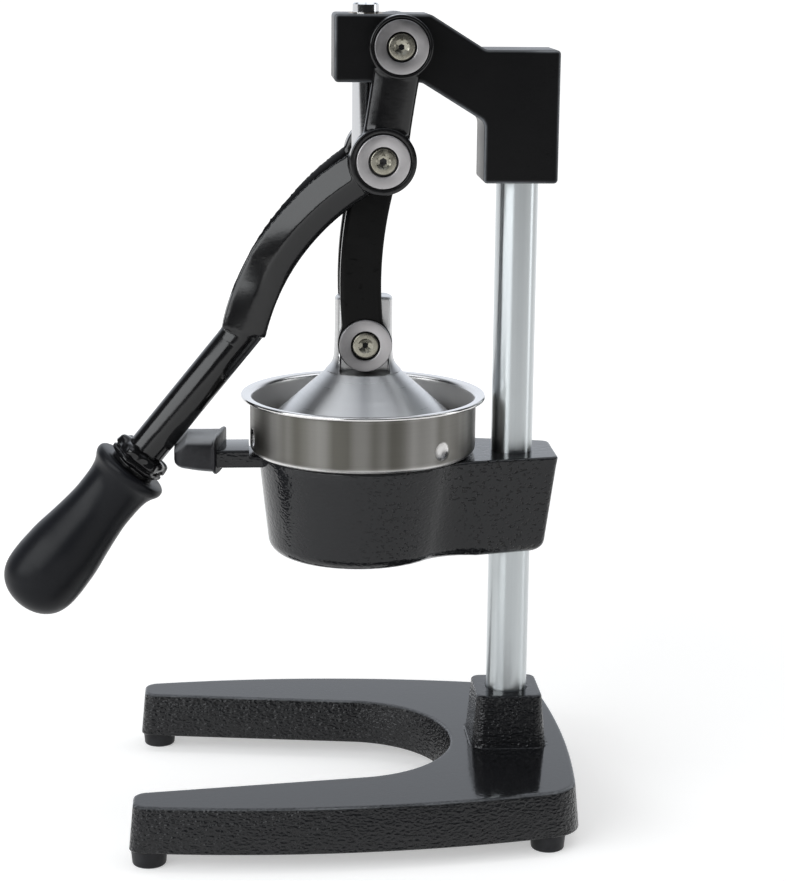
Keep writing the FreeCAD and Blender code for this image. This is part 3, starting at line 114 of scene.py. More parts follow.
# a closed outline moved inwards along its own normals (outline runs anticlockwise)
def insetOutline(outline, distance):
    ahead = np.roll(outline, -1, axis=0) - outline
    ahead /= np.linalg.norm(ahead, axis=1)[:, None]
    side = np.stack([-ahead[:, 1], ahead[:, 0]], axis=1)
    normal = side + np.roll(side, 1, axis=0)
    normal /= np.maximum(np.linalg.norm(normal, axis=1), 1e-9)[:, None]
    lean = np.maximum(np.abs(np.sum(normal * side, axis=1)), 0.4)
    return outline + normal * (distance / lean)[:, None]


# points at (r cos a, r sin a, h)
def polar(radius, angle, height):
    radius, angle, height = np.broadcast_arrays(radius, angle, height)
    return np.stack([radius * np.cos(angle), radius * np.sin(angle), height], axis=-1)


# profile of (radius, height) turned about the vertical
def lathe(profile, turns=96, angles=None):
    profile = np.asarray(profile, float)
    a = np.linspace(0, tau, turns, endpoint=False) if angles is None else angles
    return polar(profile[:, :1], a, profile[:, 1:])


# plain cylinder between two heights
def cylinder(radius, low, high, turns=96):
    return lathe([(0, low), (radius, low), (radius, high), (0, high)], turns)


# a turned grid stood on a point with its height along a direction
def aimed(grid, at, direction):
    z = np.array(direction, float)
    z /= np.linalg.norm(z)
    helper = np.array([0, 0, 1.0]) if abs(z[2]) < 0.9 else np.array([1.0, 0, 0])
    x = np.cross(helper, z)
    x /= np.linalg.norm(x)
    return grid @ np.stack([x, np.cross(z, x), z]) + np.array(at, float)


# the same at a place (x, z) of the side view, pointing to one side
def sideways(grid, place, sign):
    return aimed(grid, (place[0], 0, place[1]), (0, sign, 0))


# levels of (inset, height) through an outline that knows its own inset
def levelled(outlineAt, levels):
    rings = [(outlineAt(inset), z) for inset, z in levels]
    return np.stack([np.column_stack([ring, np.full(len(ring), z)]) for ring, z in rings])


# quarter round from a side to a flat: (inset, height) pairs, ending with a support ring on the flat
def edgeRound(inset, height, radius, steps=5, upward=True, support=0.4):
    t = np.linspace(0, quarter, steps + 1)
    down = radius * (1 - np.sin(t)) * (1 if upward else -1)
    ring = np.column_stack([inset + radius * (1 - np.cos(t)), height - down])
    return np.vstack([ring, (inset + radius + support, height)])


# flat side outline (x, z) carried across a thickness, with quarter rounds along both sides
def slab(side, half, edge, middle=0.0, sign=1, support=0.4):
    ring = edgeRound(0.0, half, edge, support=support)
    levels = np.vstack([ring[::-1] * (1, -1), ring])
    x, z, y = np.moveaxis(levelled(lambda inset: insetOutline(side, inset), levels), -1, 0)
    return shell(np.stack([x, sign * (y + middle), z], axis=-1), capStart=True, capEnd=True)


# superellipse: cosine and sine raised to a power with their signs kept
def squareRound(squareness, count=96):
    a = np.linspace(0, tau, count, endpoint=False)
    return [np.sign(v) * np.abs(v) ** (2 / squareness) for v in (np.cos(a), np.sin(a))]


# Pieces

# smooth all over except where faces meet at more than the angle
def shadeSmooth(mesh, sharpAngle):
    mesh.shade_smooth()
    mesh.set_sharp_from_angle(angle=math.radians(sharpAngle))


# shells side by side in one mesh: each one's point numbers start after the points before it
def buildMesh(name, shells, sharpAngle):
    points, corners, sizes = zip(*shells)
    starts = np.cumsum([0] + [len(p) for p in points[:-1]])
    corners = np.concatenate([c + start for c, start in zip(corners, starts)]).astype(np.int32)
    points = ((np.concatenate(points) + pressAxis) * metre).astype(np.float32)
    sizes = np.concatenate(sizes)
    mesh = bpy.data.meshes.new(name)
    mesh.vertices.add(len(points))
    mesh.vertices.foreach_set("co", points.ravel())
    mesh.loops.add(len(corners))
    mesh.loops.foreach_set("vertex_index", corners)
    mesh.polygons.add(len(sizes))
    mesh.polygons.foreach_set("loop_start", (np.cumsum(sizes) - sizes).astype(np.int32))
    mesh.update(calc_edges=True)
    bm = bmesh.new()
    bm.from_mesh(mesh)
    bmesh.ops.remove_doubles(bm, verts=bm.verts, dist=1e-7)
    bmesh.ops.dissolve_degenerate(bm, edges=bm.edges, dist=1e-8)
    bmesh.ops.recalc_face_normals(bm, faces=bm.faces)
    bm.to_mesh(mesh)
    bm.free()
    shadeSmooth(mesh, sharpAngle)
    return mesh


# points of a mesh, back in millimetres
def pointsOf(mesh):
    points = np.empty(len(mesh.vertices) * 3, np.float32)
    mesh.vertices.foreach_get("co", points)
    return points.reshape(-1, 3) / metre - pressAxis


# a mesh as a shell again
def meshShell(mesh):
    corners = np.empty(len(mesh.loops), np.int32)
    mesh.loops.foreach_get("vertex_index", corners)
    sizes = np.empty(len(mesh.polygons), np.int32)
    mesh.polygons.foreach_get("loop_total", sizes)
    return pointsOf(mesh), corners, sizes


# a value for each point, under the name that a finish reads
def mark(mesh, name, values):
    mesh.attributes.new(name, "FLOAT", "POINT").data.foreach_set("value", values.astype(np.float32))


# how far each point's normal is from level, 0 on a flat top and 1 on a wall
def markUpright(mesh):
    normals = np.empty(len(mesh.vertices) * 3, np.float32)
    mesh.vertex_normals.foreach_get("vector", normals)
    mark(mesh, "upright", np.clip(1.15 - 1.15 * np.abs(normals[2::3]) ** 2, 0, 1))


# marks the middle of an edge's round for a painted highlight: 1 at a share of its radius below the face, 0
# beyond a reach
def markEdgeHighlight(piece, below, edge, middle, reach):
    mark(piece.data, "edges", np.clip(1 - np.abs(below - middle * edge) / (reach * edge), 0, 1))


# a piece on its body, in place of the nodes that it stands for
def addPiece(name, shells, finish, body, stands, sharpAngle=38):
    mesh = shells if isinstance(shells, bpy.types.Mesh) else buildMesh(name, shells, sharpAngle)
    markUpright(mesh)
    piece = bpy.data.objects.new(name, mesh)
    bpy.context.scene.collection.objects.link(piece)
    mesh.materials.clear()
    mesh.materials.append(finish)
    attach(piece, body)
    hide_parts(*stands)
    return piece


# the mesh of a piece after cuts and modifiers, so that a union or a cut becomes one clean skin
def settled(shells, name, modifiers, cutters=(), sharpAngle=38):
    def helper(label, parts):
        made = bpy.data.objects.new(label, buildMesh(label, parts, sharpAngle))
        bpy.context.scene.collection.objects.link(made)
        return made

    work = helper(name + "Work", shells)
    tools = [helper(f"{name}Cut{k}", [cutter]) for k, cutter in enumerate(cutters)]
    cuts = [("BOOLEAN", {"operation": "DIFFERENCE", "solver": "EXACT", "object": tool}) for tool in tools]
    for kind, values in cuts + modifiers:
        step = work.modifiers.new(kind, kind)
        for key, value in values.items():
            setattr(step, key, value)
    bpy.context.view_layer.update()
    mesh = bpy.data.meshes.new_from_object(work.evaluated_get(bpy.context.evaluated_depsgraph_get()))
    mesh.name = name
    for spare in [work, *tools]:
        old = spare.data
        bpy.data.objects.remove(spare)
        bpy.data.meshes.remove(old)
    shadeSmooth(mesh, sharpAngle)
    return mesh


# Node helpers

# a socket takes a link from another socket, or else a constant
def feed(socket, value):
    if isinstance(value, bpy.types.NodeSocket):
        socket.id_data.links.new(value, socket)
    else:
        socket.default_value = value


# a node with its settings and inputs by name, a blank in an input's name written as _
def addNode(tree, kind, **values):
    node = tree.nodes.new(kind)
    for key, value in values.items():
        label = key.replace("_", " ")
        if label in node.inputs:
            feed(node.inputs[label], value)
        else:
            setattr(node, key, value)
    return node


# an empty group with its number sockets
def newGroup(name, inputs, outputs):
    tree = bpy.data.node_groups.new(name, "ShaderNodeTree")
    for label, value in inputs.items():
        socket = tree.interface.new_socket(label, in_out="INPUT", socket_type="NodeSocketFloat")
        socket.default_value = value
    for label in outputs:
        tree.interface.new_socket(label, in_out="OUTPUT", socket_type="NodeSocketFloat")
    return tree, tree.nodes.new("NodeGroupInput").outputs, tree.nodes.new("NodeGroupOutput").inputs


# a group whose inputs take the look's values of the same name
def useGroup(tree, group, look):
    node = addNode(tree, "ShaderNodeGroup", node_tree=group)
    for socket in node.inputs:
        if socket.name in look:
            feed(socket, look[socket.name])
    return node.outputs


# arithmetic on sockets and numbers
def calc(operation, a, b=0.0, clamp=False):
    tree = (a if isinstance(a, bpy.types.NodeSocket) else b).id_data
    node = addNode(tree, "ShaderNodeMath", operation=operation, use_clamp=clamp)
    feed(node.inputs[0], a)
    feed(node.inputs[1], b)
    return node.outputs[0]


# product of sockets and numbers
def times(a, b):
    return calc("MULTIPLY", a, b)


# a point's place in the piece's own coordinates
def objectPlace(tree):
    return addNode(tree, "ShaderNodeTexCoord").outputs["Object"]


# x, y and z of a vector
def splitUp(vector):
    return addNode(vector.id_data, "ShaderNodeSeparateXYZ", Vector=vector).outputs


# a vector stretched and turned
def mapped(vector, scale, turn=(0.0, 0.0, 0.0)):
    return addNode(vector.id_data, "ShaderNodeMapping", Vector=vector, Scale=scale, Rotation=turn).outputs[0]


# cloudy noise between 0 and 1
def noise(vector, scale, detail, roughness):
    return addNode(vector.id_data, "ShaderNodeTexNoise", Vector=vector, Scale=scale, Detail=detail,
                   Roughness=roughness).outputs[0]


# a value between low and high becomes one between the ends of another range
def ramp(value, low, high, ends=(0.0, 1.0), kind="SMOOTHSTEP"):
    return addNode(value.id_data, "ShaderNodeMapRange", interpolation_type=kind, Value=value, From_Min=low,
                   From_Max=high, To_Min=ends[0], To_Max=ends[1]).outputs[0]


# one colour passes into another by a share
def blend(share, low, high):
    node = addNode(share.id_data, "ShaderNodeMix", data_type="RGBA")
    for k, value in ((0, share), (6, low), (7, high)):
        feed(node.inputs[k], (*value, 1) if isinstance(value, tuple) else value)
    return node.outputs[2]


sprayLook = {"flatten": (1.0, 1.0, 1.7), "sagScale": 110.0, "pitEdge": (0.64, 0.74), "cloudScale": 22.0,
             "cloudEdge": (0.36, 0.54), "pitReach": 0.08}


# sprayed paint: height in millimetres = peel waves + slow sags - small pits that come in clouds
def makeSprayGroup():
    s = sprayLook
    tree, given, out = newGroup("sprayedPaint", {
        "peelScale": 600.0, "peelHeight": 0.08, "sagHeight": 0.1, "pitScale": 450.0, "pitDepth": 0.1,
        "pitShare": 0.0, "pitStart": -10.0}, ["Height", "Pits"])
    place = objectPlace(tree)
    flat = mapped(place, s["flatten"])
    peel = noise(flat, given["peelScale"], 1.0, 0.4)
    sag = noise(place, s["sagScale"], 1.0, 0.4)
    specks = calc("ADD", noise(flat, given["pitScale"], 1.0, 0.4), given["pitShare"])
    clouds = ramp(noise(place, s["cloudScale"], 2.0, 0.5), *s["cloudEdge"])
    # pits gather beyond a start along x, over their reach
    past = calc("SUBTRACT", splitUp(place)["X"], given["pitStart"])
    beyond = calc("DIVIDE", past, s["pitReach"], clamp=True)
    pits = times(times(ramp(specks, *s["pitEdge"]), clouds), beyond)
    waves = calc("ADD", times(peel, given["peelHeight"]), times(sag, given["sagHeight"]))
    feed(out["Height"], calc("SUBTRACT", waves, times(pits, given["pitDepth"])))
    feed(out["Pits"], pits)
    return tree


scuffLook = {"stretch": (1.0, 9.0, 9.0), "turn": (0.4, 0.3, 0.7), "cloudEdge": (0.35, 0.7),
             "lineEdge": (0.62, 0.72)}


# handling marks: broad cloudy smears and thin broken lines
def makeScuffGroup():
    s = scuffLook
    tree, given, out = newGroup("handlingScuffs", {"cloudScale": 30.0, "lineScale": 160.0},
                                ["Clouds", "Lines"])
    place = objectPlace(tree)
    lines = noise(mapped(place, s["stretch"], s["turn"]), given["lineScale"], 3.0, 0.6)
    feed(out["Clouds"], ramp(noise(place, given["cloudScale"], 4.0, 0.6), *s["cloudEdge"]))
    feed(out["Lines"], ramp(lines, *s["lineEdge"]))
    return tree


turnedLook = {"breaks": 1.2, "bandScale": 3.0}


# turning and brushing marks: fine lines that run round an upright axis, by height and radius
def makeTurnedGroup():
    tree, given, out = newGroup("turnedLines", {"lineScale": 2500.0, "centreX": 0.0375, "centreY": 0.0},
                                ["Lines", "Bands"])
    place = splitUp(objectPlace(tree))
    x = calc("SUBTRACT", place["X"], given["centreX"])
    y = calc("SUBTRACT", place["Y"], given["centreY"])
    radius = calc("SQRT", calc("ADD", times(x, x), times(y, y)))
    angle = calc("ARCTAN2", y, x)
    ring = addNode(tree, "ShaderNodeCombineXYZ", X=times(radius, given["lineScale"]),
                   Y=times(place["Z"], given["lineScale"]),
                   Z=times(calc("SINE", angle), turnedLook["breaks"]))
    sweep = addNode(tree, "ShaderNodeCombineXYZ", X=calc("COSINE", angle), Y=calc("SINE", angle))
    feed(out["Lines"], noise(ring.outputs[0], 1.0, 3.0, 0.65))
    feed(out["Bands"], noise(sweep.outputs[0], turnedLook["bandScale"], 2.0, 0.5))
    return tree


sprayedPaint = makeSprayGroup()
handlingScuffs = makeScuffGroup()
turnedLines = makeTurnedGroup()
print("node groups built")


# Finishes

# a Principled material with its plain values, its tree and its shader's inputs
def newFinish(name, look, metallic):
    material = bpy.data.materials.new(name)
    material.use_nodes = True
    inputs = material.node_tree.nodes["Principled BSDF"].inputs
    for label, value in (("Base Color", (*look["colour"], 1)), ("Roughness", look["roughness"]),
                         ("Metallic", metallic), ("IOR", look.get("ior", 1.5))):
        feed(inputs[label], value)
    return material, material.node_tree, inputs


# the piece's own attribute
def attribute(tree, name):
    return addNode(tree, "ShaderNodeAttribute", attribute_name=name).outputs["Fac"]


# roughness rises by the haze where the scuffs' clouds lie
def addHaze(inputs, clouds, look):
    rough = look["roughness"]
    feed(inputs["Roughness"], ramp(clouds, 0.0, 1.0, (rough, rough + look["haze"]), "LINEAR"))


# the base colour passes from dark to light as the share goes from low to high
def addTint(inputs, share, dark, light, low=0.0, high=1.0):
    colour = blend(ramp(share, low, high, kind="LINEAR"), dark, light)
    feed(inputs["Base Color"], colour)
    return colour


# the normal leans with the slope of height times distance
def addBump(inputs, height, distance):
    bump = addNode(height.id_data, "ShaderNodeBump", Height=height, Strength=1.0, Distance=distance)
    feed(inputs["Normal"], bump.outputs[0])


# paint lies smoother on level faces, where the upright attribute is 0, and is lightened along marked edges as
# a painted highlight
def paintFinish(name, look):
    material, tree, inputs = newFinish(name, look, 0.0)
    spray = useGroup(tree, sprayedPaint, look)
    clouds = useGroup(tree, handlingScuffs, look)["Clouds"]
    share = calc("MAXIMUM", attribute(tree, "upright"), look["levelShare"])
    addBump(inputs, times(spray["Height"], share), metre)
    addHaze(inputs, clouds, look)
    colour = addTint(inputs, spray["Pits"], look["colour"], look["pitColour"])
    # along the marked edges the colour passes to the edge colour, a painted highlight broken up by the scuff
    # clouds
    if "edgeColour" in look:
        edgeHighlightShare = times(attribute(tree, "edges"), calc("ADD", clouds, 0.5))
        feed(inputs["Base Color"], blend(edgeHighlightShare, colour, look["edgeColour"]))
    return material


hammered = {"pitColour": (0.003, 0.003, 0.003), "ior": 1.38, "peelScale": 500.0, "pitScale": 430.0}
smoothCoat = {"pitColour": (0.002, 0.002, 0.002), "peelScale": 420.0, "pitScale": 300.0, "levelShare": 1.0}
# its edge colour is a painted highlight along the round of the top edge
basePaint = paintFinish("hammeredBasePaint", {
    **hammered, "colour": (0.0095, 0.0098, 0.011), "roughness": 0.08, "haze": 0.05, "peelHeight": 1.0,
    "sagHeight": 0.14, "pitDepth": 0.3, "levelShare": 0.026, "edgeColour": (0.13, 0.136, 0.145)})
bracketPaint = paintFinish("hammeredBracketPaint", {
    **hammered, "colour": (0.0112, 0.0116, 0.013), "roughness": 0.09, "haze": 0.06, "peelHeight": 0.22,
    "sagHeight": 0.15, "pitDepth": 0.45, "pitShare": 0.07, "pitStart": 0.02, "levelShare": 0.06})
armPaint = paintFinish("glossBlackPaint", {
    **smoothCoat, "colour": (0.005, 0.005, 0.0055), "roughness": 0.13, "haze": 0.06, "ior": 1.44,
    "peelHeight": 0.012, "sagHeight": 0.07, "pitDepth": 0.01})
linkPaint = paintFinish("linkBlackPaint", {
    **smoothCoat, "colour": (0.004, 0.004, 0.004), "roughness": 0.13, "haze": 0.08, "ior": 1.16,
    "peelHeight": 0.01, "sagHeight": 0.06, "pitDepth": 0.02})
# its edge colour is a painted highlight along the rounds of the front edges
headPaint = paintFinish("smoothBlackPaint", {
    **smoothCoat, "colour": (0.004, 0.004, 0.0045), "roughness": 0.3, "haze": 0.06, "ior": 1.24,
    "peelHeight": 0.006, "sagHeight": 0.03, "pitScale": 700.0, "pitDepth": 0.02,
    "edgeColour": (0.19, 0.20, 0.215)})


turnedMix = {"polishGain": 0.6, "satinGain": 0.5, "dullRange": (-0.6, 0.7), "brightRange": (0.4, 1.4)}


# brushed by its turning lines, shinier where the piece is polished and duller where it is satin; where
# polished the colour is also lightened as a painted highlight, and where satin as painted light on a shaded
# inside
def turnedFinish(name, look):
    s = turnedMix
    material, tree, inputs = newFinish(name, look, 1.0)
    marks = useGroup(tree, turnedLines, look)
    polished, satin = attribute(tree, "polished"), attribute(tree, "satin")
    worn = times(marks["Lines"], calc("SUBTRACT", 1.0, polished))
    dull = calc("SUBTRACT", worn, times(polished, s["polishGain"]))
    dull = calc("ADD", dull, times(satin, s["satinGain"]))
    rough, spread = look["roughness"], look["spread"]
    feed(inputs["Roughness"], ramp(dull, *s["dullRange"], (rough - 2 * spread, rough + spread), "LINEAR"))
    # the colour lightens with the bands, with a painted highlight where polished and with painted light where
    # satin
    bright = calc("ADD", calc("ADD", marks["Bands"], polished), satin)
    addTint(inputs, bright, look["colour"], look["light"], *s["brightRange"])
    addBump(inputs, worn, look["depth"] * metre)
    # a quarter of a turn from the default tangent, so that reflections stretch across the turning lines
    feed(inputs["Anisotropic"], look.get("stretch", 0.0))
    feed(inputs["Anisotropic Rotation"], 0.25)
    return material


cupSteel = turnedFinish("brushedCupSteel", {
    "colour": (0.105, 0.101, 0.089), "light": (0.66, 0.65, 0.64), "roughness": 0.36, "spread": 0.12,
    "lineScale": 1800.0, "depth": 0.012})
domeMetal = turnedFinish("castDomeAluminium", {
    "colour": (0.52, 0.52, 0.52), "light": (0.62, 0.62, 0.62), "roughness": 0.26, "spread": 0.12,
    "lineScale": 1500.0, "depth": 0.02, "stretch": 0.75})
columnChrome = turnedFinish("columnChrome", {
    "colour": (0.53, 0.56, 0.57), "light": (0.62, 0.65, 0.66), "roughness": 0.28, "spread": 0.02,
    "lineScale": 900.0, "centreX": 0.1135, "depth": 0.0005, "stretch": 0.9})
rodChrome = turnedFinish("rodChrome", {
    "colour": (0.60, 0.61, 0.63), "light": (0.68, 0.69, 0.70), "roughness": 0.05, "spread": 0.04,
    "lineScale": 900.0, "depth": 0.002})


# bare metal: clouds and the piece's own sweep lead from its dark to its light colour; on the discs the sweep
# is a painted reflection, lighter on one side
def plainMetal(name, look):
    material, tree, inputs = newFinish(name, look, 1.0)
    scuffs = useGroup(tree, handlingScuffs, look)
    addHaze(inputs, scuffs["Clouds"], look)
    clouds = times(scuffs["Clouds"], 1 - look.get("sweep", 0.0))
    addTint(inputs, calc("ADD", clouds, attribute(tree, "sweep")), look["colour"], look["light"])
    addBump(inputs, scuffs["Lines"], look["depth"] * metre)
    return material


fastener = {"haze": 0.15, "cloudScale": 150.0, "lineScale": 700.0, "depth": 0.01}
# most of the disc's tint comes from the sweep, a painted reflection
discSteel = plainMetal("satinDiscSteel", {
    "colour": (0.10, 0.098, 0.10), "light": (0.50, 0.485, 0.49), "roughness": 0.34, "haze": 0.12,
    "sweep": 0.85, "cloudScale": 90.0, "lineScale": 500.0, "depth": 0.01})
screwSteel = plainMetal("stainlessScrews", {
    "colour": (0.24, 0.23, 0.19), "light": (0.36, 0.345, 0.29), "roughness": 0.22, "haze": 0.12,
    "cloudScale": 200.0, "lineScale": 900.0, "depth": 0.01})
zincSteel = plainMetal("zincFasteners", {
    **fastener, "colour": (0.48, 0.48, 0.47), "light": (0.58, 0.58, 0.57), "roughness": 0.35})
bushBronze = plainMetal("bushBronze", {
    **fastener, "colour": (0.42, 0.28, 0.12), "light": (0.52, 0.36, 0.17), "roughness": 0.3})


# moulded skin with a fine grain; its colour is paler on its level faces
def softFinish(name, look):
    material, tree, inputs = newFinish(name, look, 0.0)
    addBump(inputs, useGroup(tree, sprayedPaint, look)["Height"], metre)
    clouds = useGroup(tree, handlingScuffs, look)["Clouds"]
    addHaze(inputs, clouds, look)
    # paler where the face is level
    level = calc("SUBTRACT", 1.0, attribute(tree, "upright"))
    paleShare = calc("ADD", times(clouds, look["bloom"]), times(level, look["dust"]))
    addTint(inputs, paleShare, look["colour"], look["light"])
    return material


gripPlastic = softFinish("satinGripBlack", {
    "colour": (0.007, 0.0075, 0.0095), "light": (0.016, 0.017, 0.020), "dust": 0.0, "bloom": 0.04,
    "roughness": 0.32, "haze": 0.08, "ior": 1.25, "peelScale": 1500.0, "peelHeight": 0.01, "sagHeight": 0.06,
    "pitScale": 600.0, "pitDepth": 0.01, "cloudScale": 25.0})
rubberBlack = softFinish("matteRubberBlack", {
    "colour": (0.007, 0.007, 0.009), "light": (0.34, 0.35, 0.365), "dust": 0.9, "bloom": 0.04,
    "roughness": 0.38, "haze": 0.12, "ior": 1.34, "peelScale": 1800.0, "peelHeight": 0.02, "sagHeight": 0.06,
    "pitScale": 700.0, "pitDepth": 0.03, "cloudScale": 90.0})
print("finishes built")

# Base casting

baseSizes = {
    "footHeight": 9.0, "top": 32.0, "draft": 5.0, "wall": 6.0, "roof": 25.0, "roofRing": 0.5, "edge": 1.6,
    "footEdge": 0.8, "prongReach": 115.0, "prongHalf": 91.0, "widestX": -38.0, "widestHalf": 95.8,
    "tipRound": 6.0, "sideEnd": (88.5, 81.7), "rearCorner": (98.3, 76.6), "rearEnd": (103.2, 66.0),
    "rearX": 106.6, "slotHalf": 70.5, "slotArc": (-1.7, 55.5), "slotBackX": 47.0, "edgeHighlightBand": (0.3, 0.28)}


# horseshoe outline, anticlockwise from above: straight and round runs, each with a fixed number of points
def horseshoe(inset):
    s = baseSizes
    front = inset - s["prongReach"]
    outer = s["prongHalf"] - inset
    inner = s["slotHalf"] + inset
    tip = min(s["tipRound"], 0.48 * (outer - inner))
    trim = tip * (1 - math.sqrt(0.5))
    slotX, slotHalf = s["slotArc"][0], s["slotArc"][1] + inset
    side, corner, rear = ((s[key][0] - inset, inset - s[key][1])
                          for key in ("sideEnd", "rearCorner", "rearEnd"))
    runs = [
        resample([(slotX, -slotHalf), (front + tip, -inner)], 24),
        arcThrough((front + tip, -inner), (front + trim, -inner - trim), (front, -inner - tip), 8),
        resample([(front, -inner - tip), (front, -outer + tip)], 4),
        arcThrough((front, -outer + tip), (front + trim, -outer + trim), (front + tip, -outer), 8),
        arcThrough((front + tip, -outer), (s["widestX"], inset - s["widestHalf"]), side, 48),
        arcThrough(side, corner, rear, 12)]
    near = np.concatenate([run[:-1] for run in runs])
    back = arcThrough(rear, (s["rearX"] - inset, 0), (rear[0], -rear[1]), 32)
    slot = arcThrough((slotX, slotHalf), (s["slotBackX"] + inset, 0), (slotX, -slotHalf), 64)
    return np.concatenate([near, back, (near[::-1] * (1, -1))[:-1], slot[:-1]])


# the outline in levels: the hollow underneath, the foot's edge, the drafted side and the round to the top
def makeBase():
    s = baseSizes
    lean = math.tan(math.radians(s["draft"]))
    foot = (s["footHeight"] - s["top"]) * lean
    hollow = [(s["wall"] + s["roofRing"], s["roof"]), (s["wall"], s["roof"]), (s["wall"], s["footHeight"])]
    lower = edgeRound(foot, s["footHeight"], s["footEdge"], 3, upward=False)[::-1]
    upper = edgeRound(-s["edge"] * lean, s["top"], s["edge"])
    return shell(levelled(horseshoe, np.vstack([hollow, lower, upper])), capStart=True, capEnd=True)


bossSizes = {"x": 76.0, "top": 59.7, "bottom": 31.0, "length": 34.0, "width": 35.6, "draft": 4.5,
             "round": 4.5, "leastRound": 0.6, "edge": 1.6, "fillet": 1.6, "holeRadius": 10.6, "lead": 0.9,
             "depth": 12.0}


# rounded square that spreads by its draft, with a round hole for the column
def makeBoss():
    s = bossSizes

    def outlineAt(inset):
        a, b = s["length"] / 2 - inset, s["width"] / 2 - inset
        r = max(s["round"] - inset, s["leastRound"])
        square = [(s["x"] - a, -b, r), (s["x"] + a, -b, r), (s["x"] + a, b, r), (s["x"] - a, b, r)]
        return resample(roundedPath(square), 160, closed=True)

    plateTop = baseSizes["top"]
    spread = (s["top"] - plateTop) * math.tan(math.radians(s["draft"]))
    t = np.linspace(0, quarter, 6)
    flare = np.column_stack([-spread - s["fillet"] * (1 - np.sin(t)),
                             plateTop + s["fillet"] * (1 - np.cos(t))])
    levels = np.vstack([(flare[0, 0], s["bottom"]), flare, edgeRound(0.0, s["top"], s["edge"])])
    x, y = (outlineAt(0) - (s["x"], 0)).T
    radius, top = s["holeRadius"], s["top"]
    hole = lathe([(radius + s["lead"], top), (radius, top - s["lead"]), (radius, top - s["depth"])],
                 angles=np.arctan2(y, x))
    grid = np.concatenate([levelled(outlineAt, levels), hole + (s["x"], 0, 0)])
    return shell(grid, capStart=True, capEnd=True)


baseCasting = addPiece("baseCasting", [makeBase(), makeBoss()], basePaint, "stand", ["base_casting"])
# a painted highlight along the round of the top edge
markEdgeHighlight(baseCasting, baseSizes["top"] - pointsOf(baseCasting.data)[:, 2], baseSizes["edge"],
         *baseSizes["edgeHighlightBand"])

footSizes = {"toe": 8.2, "top": 9.0, "height": 9.0, "edge": 1.2, "topEdge": 0.3, "pocket": 5.25, "roof": 4.8,
             "hole": 2.55, "places": {"FrontNear": (-107.5, -82.5), "FrontFar": (-107.5, 82.5),
                                      "RearNear": (89.0, -73.0), "RearFar": (89.0, 73.0)}}


# rubber foot: a tapered round with a soft toe and the screw's pocket from below
def makeFeet():
    s = footSizes
    profile = roundedPath([(s["pocket"], 0), (s["toe"], 0, s["edge"]), (s["top"], s["height"], s["topEdge"]),
                           (s["hole"], s["height"]), (s["hole"], s["roof"]), (s["pocket"], s["roof"])])
    for name, (x, y) in s["places"].items():
        node = "foot" + "".join("_" + c.lower() if c.isupper() else c for c in name)
        foot = shell(lathe(profile, 48) + (x, y, 0), closeRows=True)
        addPiece("rubberFoot" + name, [foot], rubberBlack, "stand", [node])


makeFeet()
print("base and feet built")

# Column, guide rod and head

columnSizes = {"x": 76.0, "radius": 10.5, "bottom": 23.5, "top": 378.0, "lead": 0.8}
rodSizes = {"x": 0.0, "radius": 6.5, "bottom": 266.0, "top": 409.4, "lead": 0.8}


# round bar with a chamfer at both ends
def makeRound(s, turns):
    radius, low, high, lead = s["radius"], s["bottom"], s["top"], s["lead"]
    profile = [(0, low), (radius - lead, low), (radius, low + lead), (radius, high - lead),
               (radius - lead, high), (0, high)]
    return shell(lathe(profile, turns) + (s["x"], 0, 0))


addPiece("chromedColumn", [makeRound(columnSizes, 128)], columnChrome, "stand", ["column"], 30)
addPiece("guideRod", [makeRound(rodSizes, 96)], rodChrome, "press", ["guide_rod"], 30)

# bores are (x, radius, from, to); bends of the outline are marked 1
headSizes = {
    "half": 17.5, "edge": 1.8, "support": 0.12, "corner": 2.0, "bend": 5.0, "edgeHighlightBand": (0.36, 0.34),
    "bores": [(0.0, 8.65, 360.0, 420.0), (76.0, 10.6, 310.0, 378.1)],
    "screwHole": 3.1, "screwX": 81.0, "screwDepth": 30.0, "screwHeights": (341.0, 367.0),
    "outline": [(-16.0, 372.0, 0), (26.5, 372.0, 1), (57.2, 353.3, 1), (57.2, 323.4, 0), (93.9, 323.4, 0),
                (93.9, 387.9, 0), (57.5, 387.9, 1), (30.5, 404.5, 1), (-16.0, 404.5, 0)]}


# side outline with rounded bends as a slab, with the bores and screw holes cut out
def makeHead():
    s = headSizes
    side = roundedPath([(x, z, s["bend"] if bent else s["corner"]) for x, z, bent in s["outline"]])
    bores = [shell(cylinder(radius, low, high, 64) + (x, 0, 0)) for x, radius, low, high in s["bores"]]
    hole = cylinder(s["screwHole"], 0, s["screwDepth"], 32)
    bores += [shell(aimed(hole, (s["screwX"], 0, z), (1, 0, 0))) for z in s["screwHeights"]]
    return settled([slab(side, s["half"], s["edge"], support=s["support"])], "headCasting", [], bores, 30)


headCasting = addPiece("headCasting", makeHead(), headPaint, "stand", ["head_casting"])
# a painted highlight along the rounds of the front edges
markEdgeHighlight(headCasting, headSizes["half"] - np.abs(pointsOf(headCasting.data)[:, 1]), headSizes["edge"],
         *headSizes["edgeHighlightBand"])
print("column, rod and head built")

# Pivot flanges and socket screws

